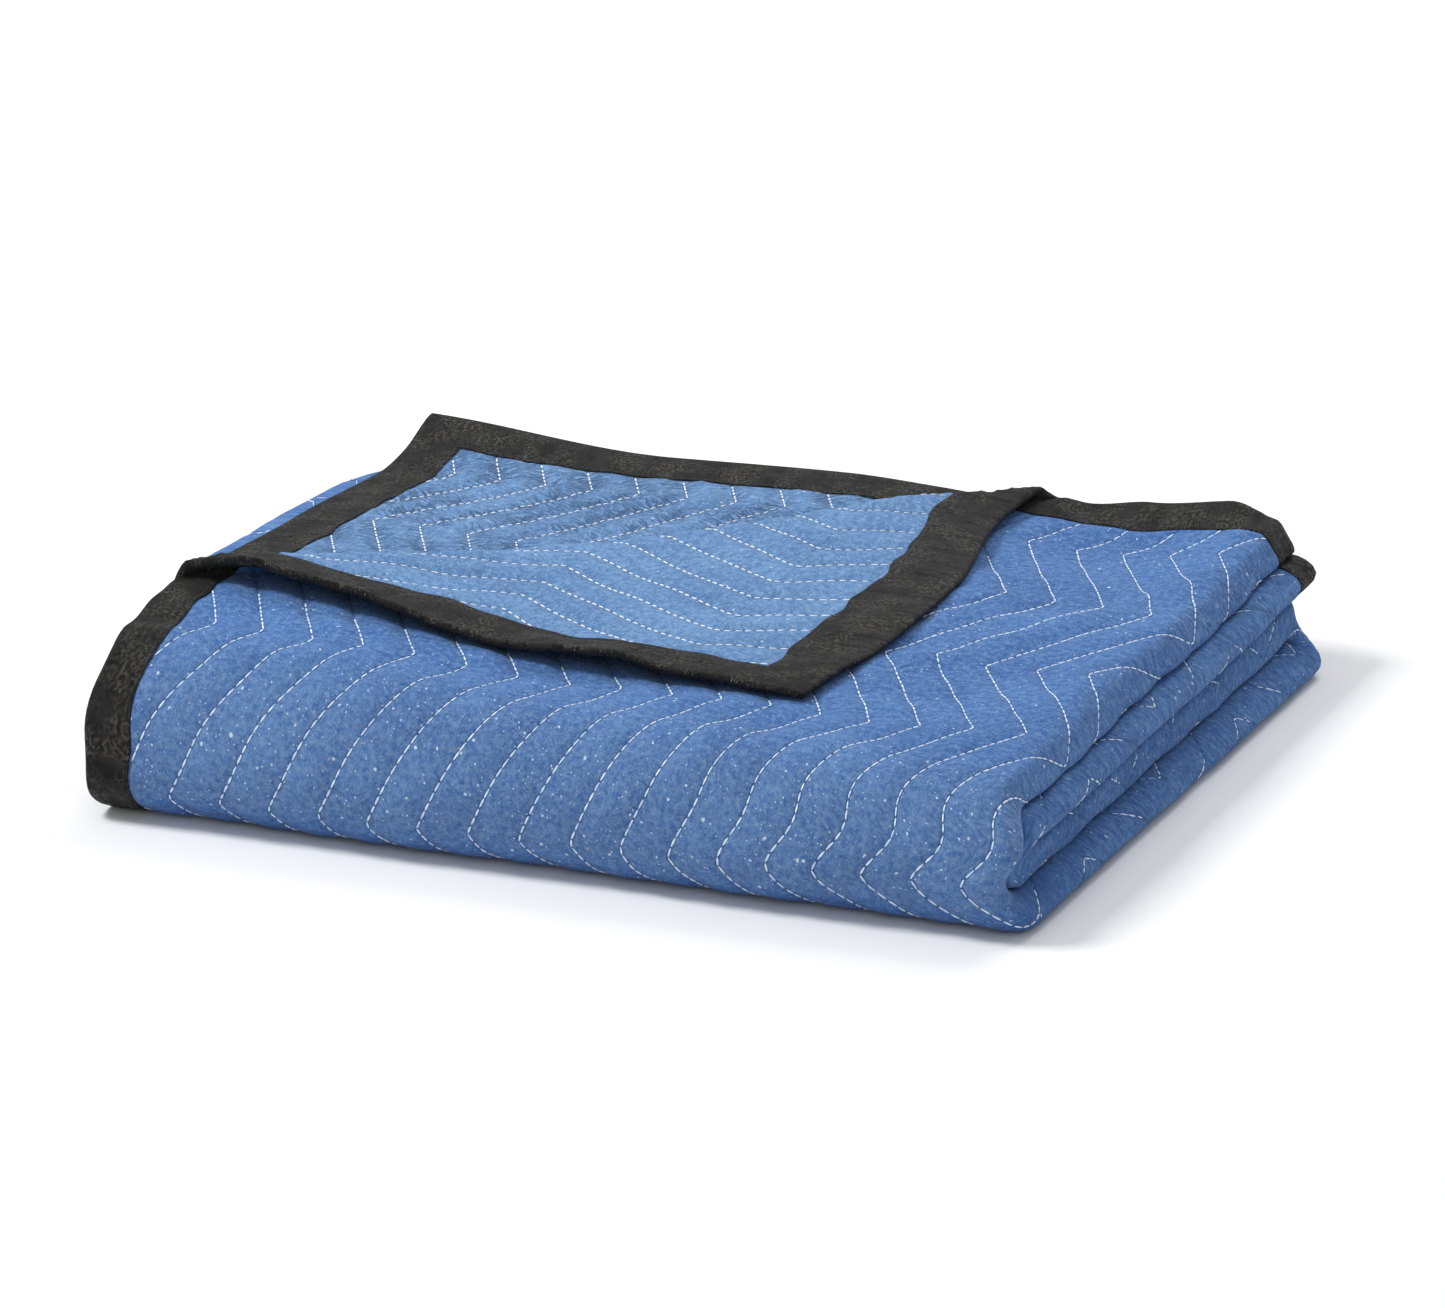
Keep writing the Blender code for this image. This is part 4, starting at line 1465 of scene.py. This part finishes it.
@dataclass
class Studio:
    """The floor, the lights and the camera."""

    eye: tuple[float, float, float] = (1.829, -4.556, 1.732)
    aim: tuple[float, float, float] = (0.004, 0.0, 0.047)
    focal: float = 243.0
    floor_size: float = 14.0

    def floor(self) -> None:
        """Makes the floor."""
        mesh = bmesh.new()
        bmesh.ops.create_grid(mesh, x_segments=4, y_segments=4, size=self.floor_size / 2)
        piece = as_object("studio_floor", mesh, [PaleFloor().material()])

    def area_light(self, name: str, place: Sequence[float], size: float, watts: float) -> None:
        """Adds a soft white light that shines at the blanket."""
        data = bpy.data.lights.new(name, "AREA")
        data.shape, data.size, data.energy = "SQUARE", size, watts
        self.hang(bpy.data.objects.new(name, data), place)

    def hang(self, item: bpy.types.Object, place: Sequence[float]) -> None:
        """Puts a light or the camera at a place, turned towards the blanket."""
        item.location = place
        item.rotation_euler = (Vector(self.aim) - Vector(place)).to_track_quat("-Z", "Y").to_euler()
        bpy.context.scene.collection.objects.link(item)

    def lights(self) -> None:
        """Adds the lights and the even light of the room."""
        self.area_light("key_light", (-1.9, -0.5, 2.6), 1.0, 78)
        self.area_light("back_light", (0.2, 2.4, 2.3), 1.4, 46)
        self.area_light("fill_light", (1.2, -3.0, 1.6), 2.0, 14)
        world = bpy.data.worlds.new("studio_room")
        world.use_nodes = True
        room = world.node_tree.nodes["Background"]
        room.inputs["Color"].default_value = (0.96, 0.98, 1.0, 1.0)
        room.inputs["Strength"].default_value = 0.5
        bpy.context.scene.world = world

    def camera(self) -> None:
        """Puts the camera at the photograph's viewing angle."""
        data = bpy.data.cameras.new("photo_camera")
        data.sensor_fit, data.sensor_width, data.lens = "HORIZONTAL", 36.0, self.focal
        data.clip_end = 50
        camera = bpy.data.objects.new("photo_camera", data)
        self.hang(camera, self.eye)
        bpy.context.scene.camera = camera

    def build(self) -> None:
        """Makes all of the studio."""
        self.floor()
        self.lights()
        self.camera()
        bpy.context.scene.view_settings.view_transform = "Standard"


@dataclass
class MovingBlanket:
    """The whole blanket: the cloth, its four tapes and its thread."""

    cloth: Cloth = field(default_factory=Cloth)

    def build(self) -> list[bpy.types.Object]:
        """Builds, dresses and attaches every piece.

        Returns:
            The pieces.
        """
        quilting = self.cloth.quilting
        face = NonwovenCloth(
            "blue_nonwoven_face", (0.066, 0.162, 0.385), (0.026, 0.088, 0.275), (0.145, 0.265, 0.475),
            lint=(0.60, 0.70, 0.80), wrinkles=0.45, second_wrinkles=0.6, worn=1.0,
        ).material(quilting)
        reverse = NonwovenCloth(
            "light_blue_nonwoven_reverse", (0.120, 0.240, 0.450), (0.060, 0.145, 0.325), (0.22, 0.36, 0.56),
            lint=(0.50, 0.62, 0.75), wrinkles=0.6, second_wrinkles=2.1,
        ).material(quilting)
        panel = QuiltedPanel(self.cloth).build(face, reverse)
        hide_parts("quilted_panel")
        twill = TwillTape("black_twill_tape").material()
        tapes = [EdgeTape(self.cloth, edge) for edge in Edge]
        bands = [tape.build(twill) for tape in tapes]
        for tape, band in zip(tapes, bands):
            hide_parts(tape.edge.value)
        pale = SewingThread("pale_blue_thread", (0.76, 0.88, 0.99), (0.46, 0.62, 0.88)).material()
        white = SewingThread("white_thread", (0.86, 0.90, 0.94), (0.66, 0.75, 0.86)).material()
        dark = SewingThread("black_thread", (0.03, 0.03, 0.033), (0.015, 0.015, 0.017), 0.1).material()
        threads = [
            QuiltingThread(self.cloth).build(pale),
            QuiltingThread(
                self.cloth, name="quilting_thread_reverse", side=Side.REVERSE,
                length=3.9 * MM, width=1.25 * MM, inside=32 * MM,
            ).build(white),
        ]
        seam = TapeSeam(self.cloth).build(tapes, dark)
        pieces = [panel, *bands, *threads, seam]
        for piece in pieces:
            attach(piece, BODY)
        flat = (self.cloth.pile.cloth_length, self.cloth.pile.cloth_width)
        return pieces


def main() -> None:
    """Builds the studio and the blanket, and reports each piece."""
    logging.basicConfig(level=logging.INFO, format="%(message)s")
    Studio().build()
    for piece in MovingBlanket().build():
        LOG.info("%s: %d faces", piece.name, len(piece.data.polygons))


if __name__ == "__main__":
    main()
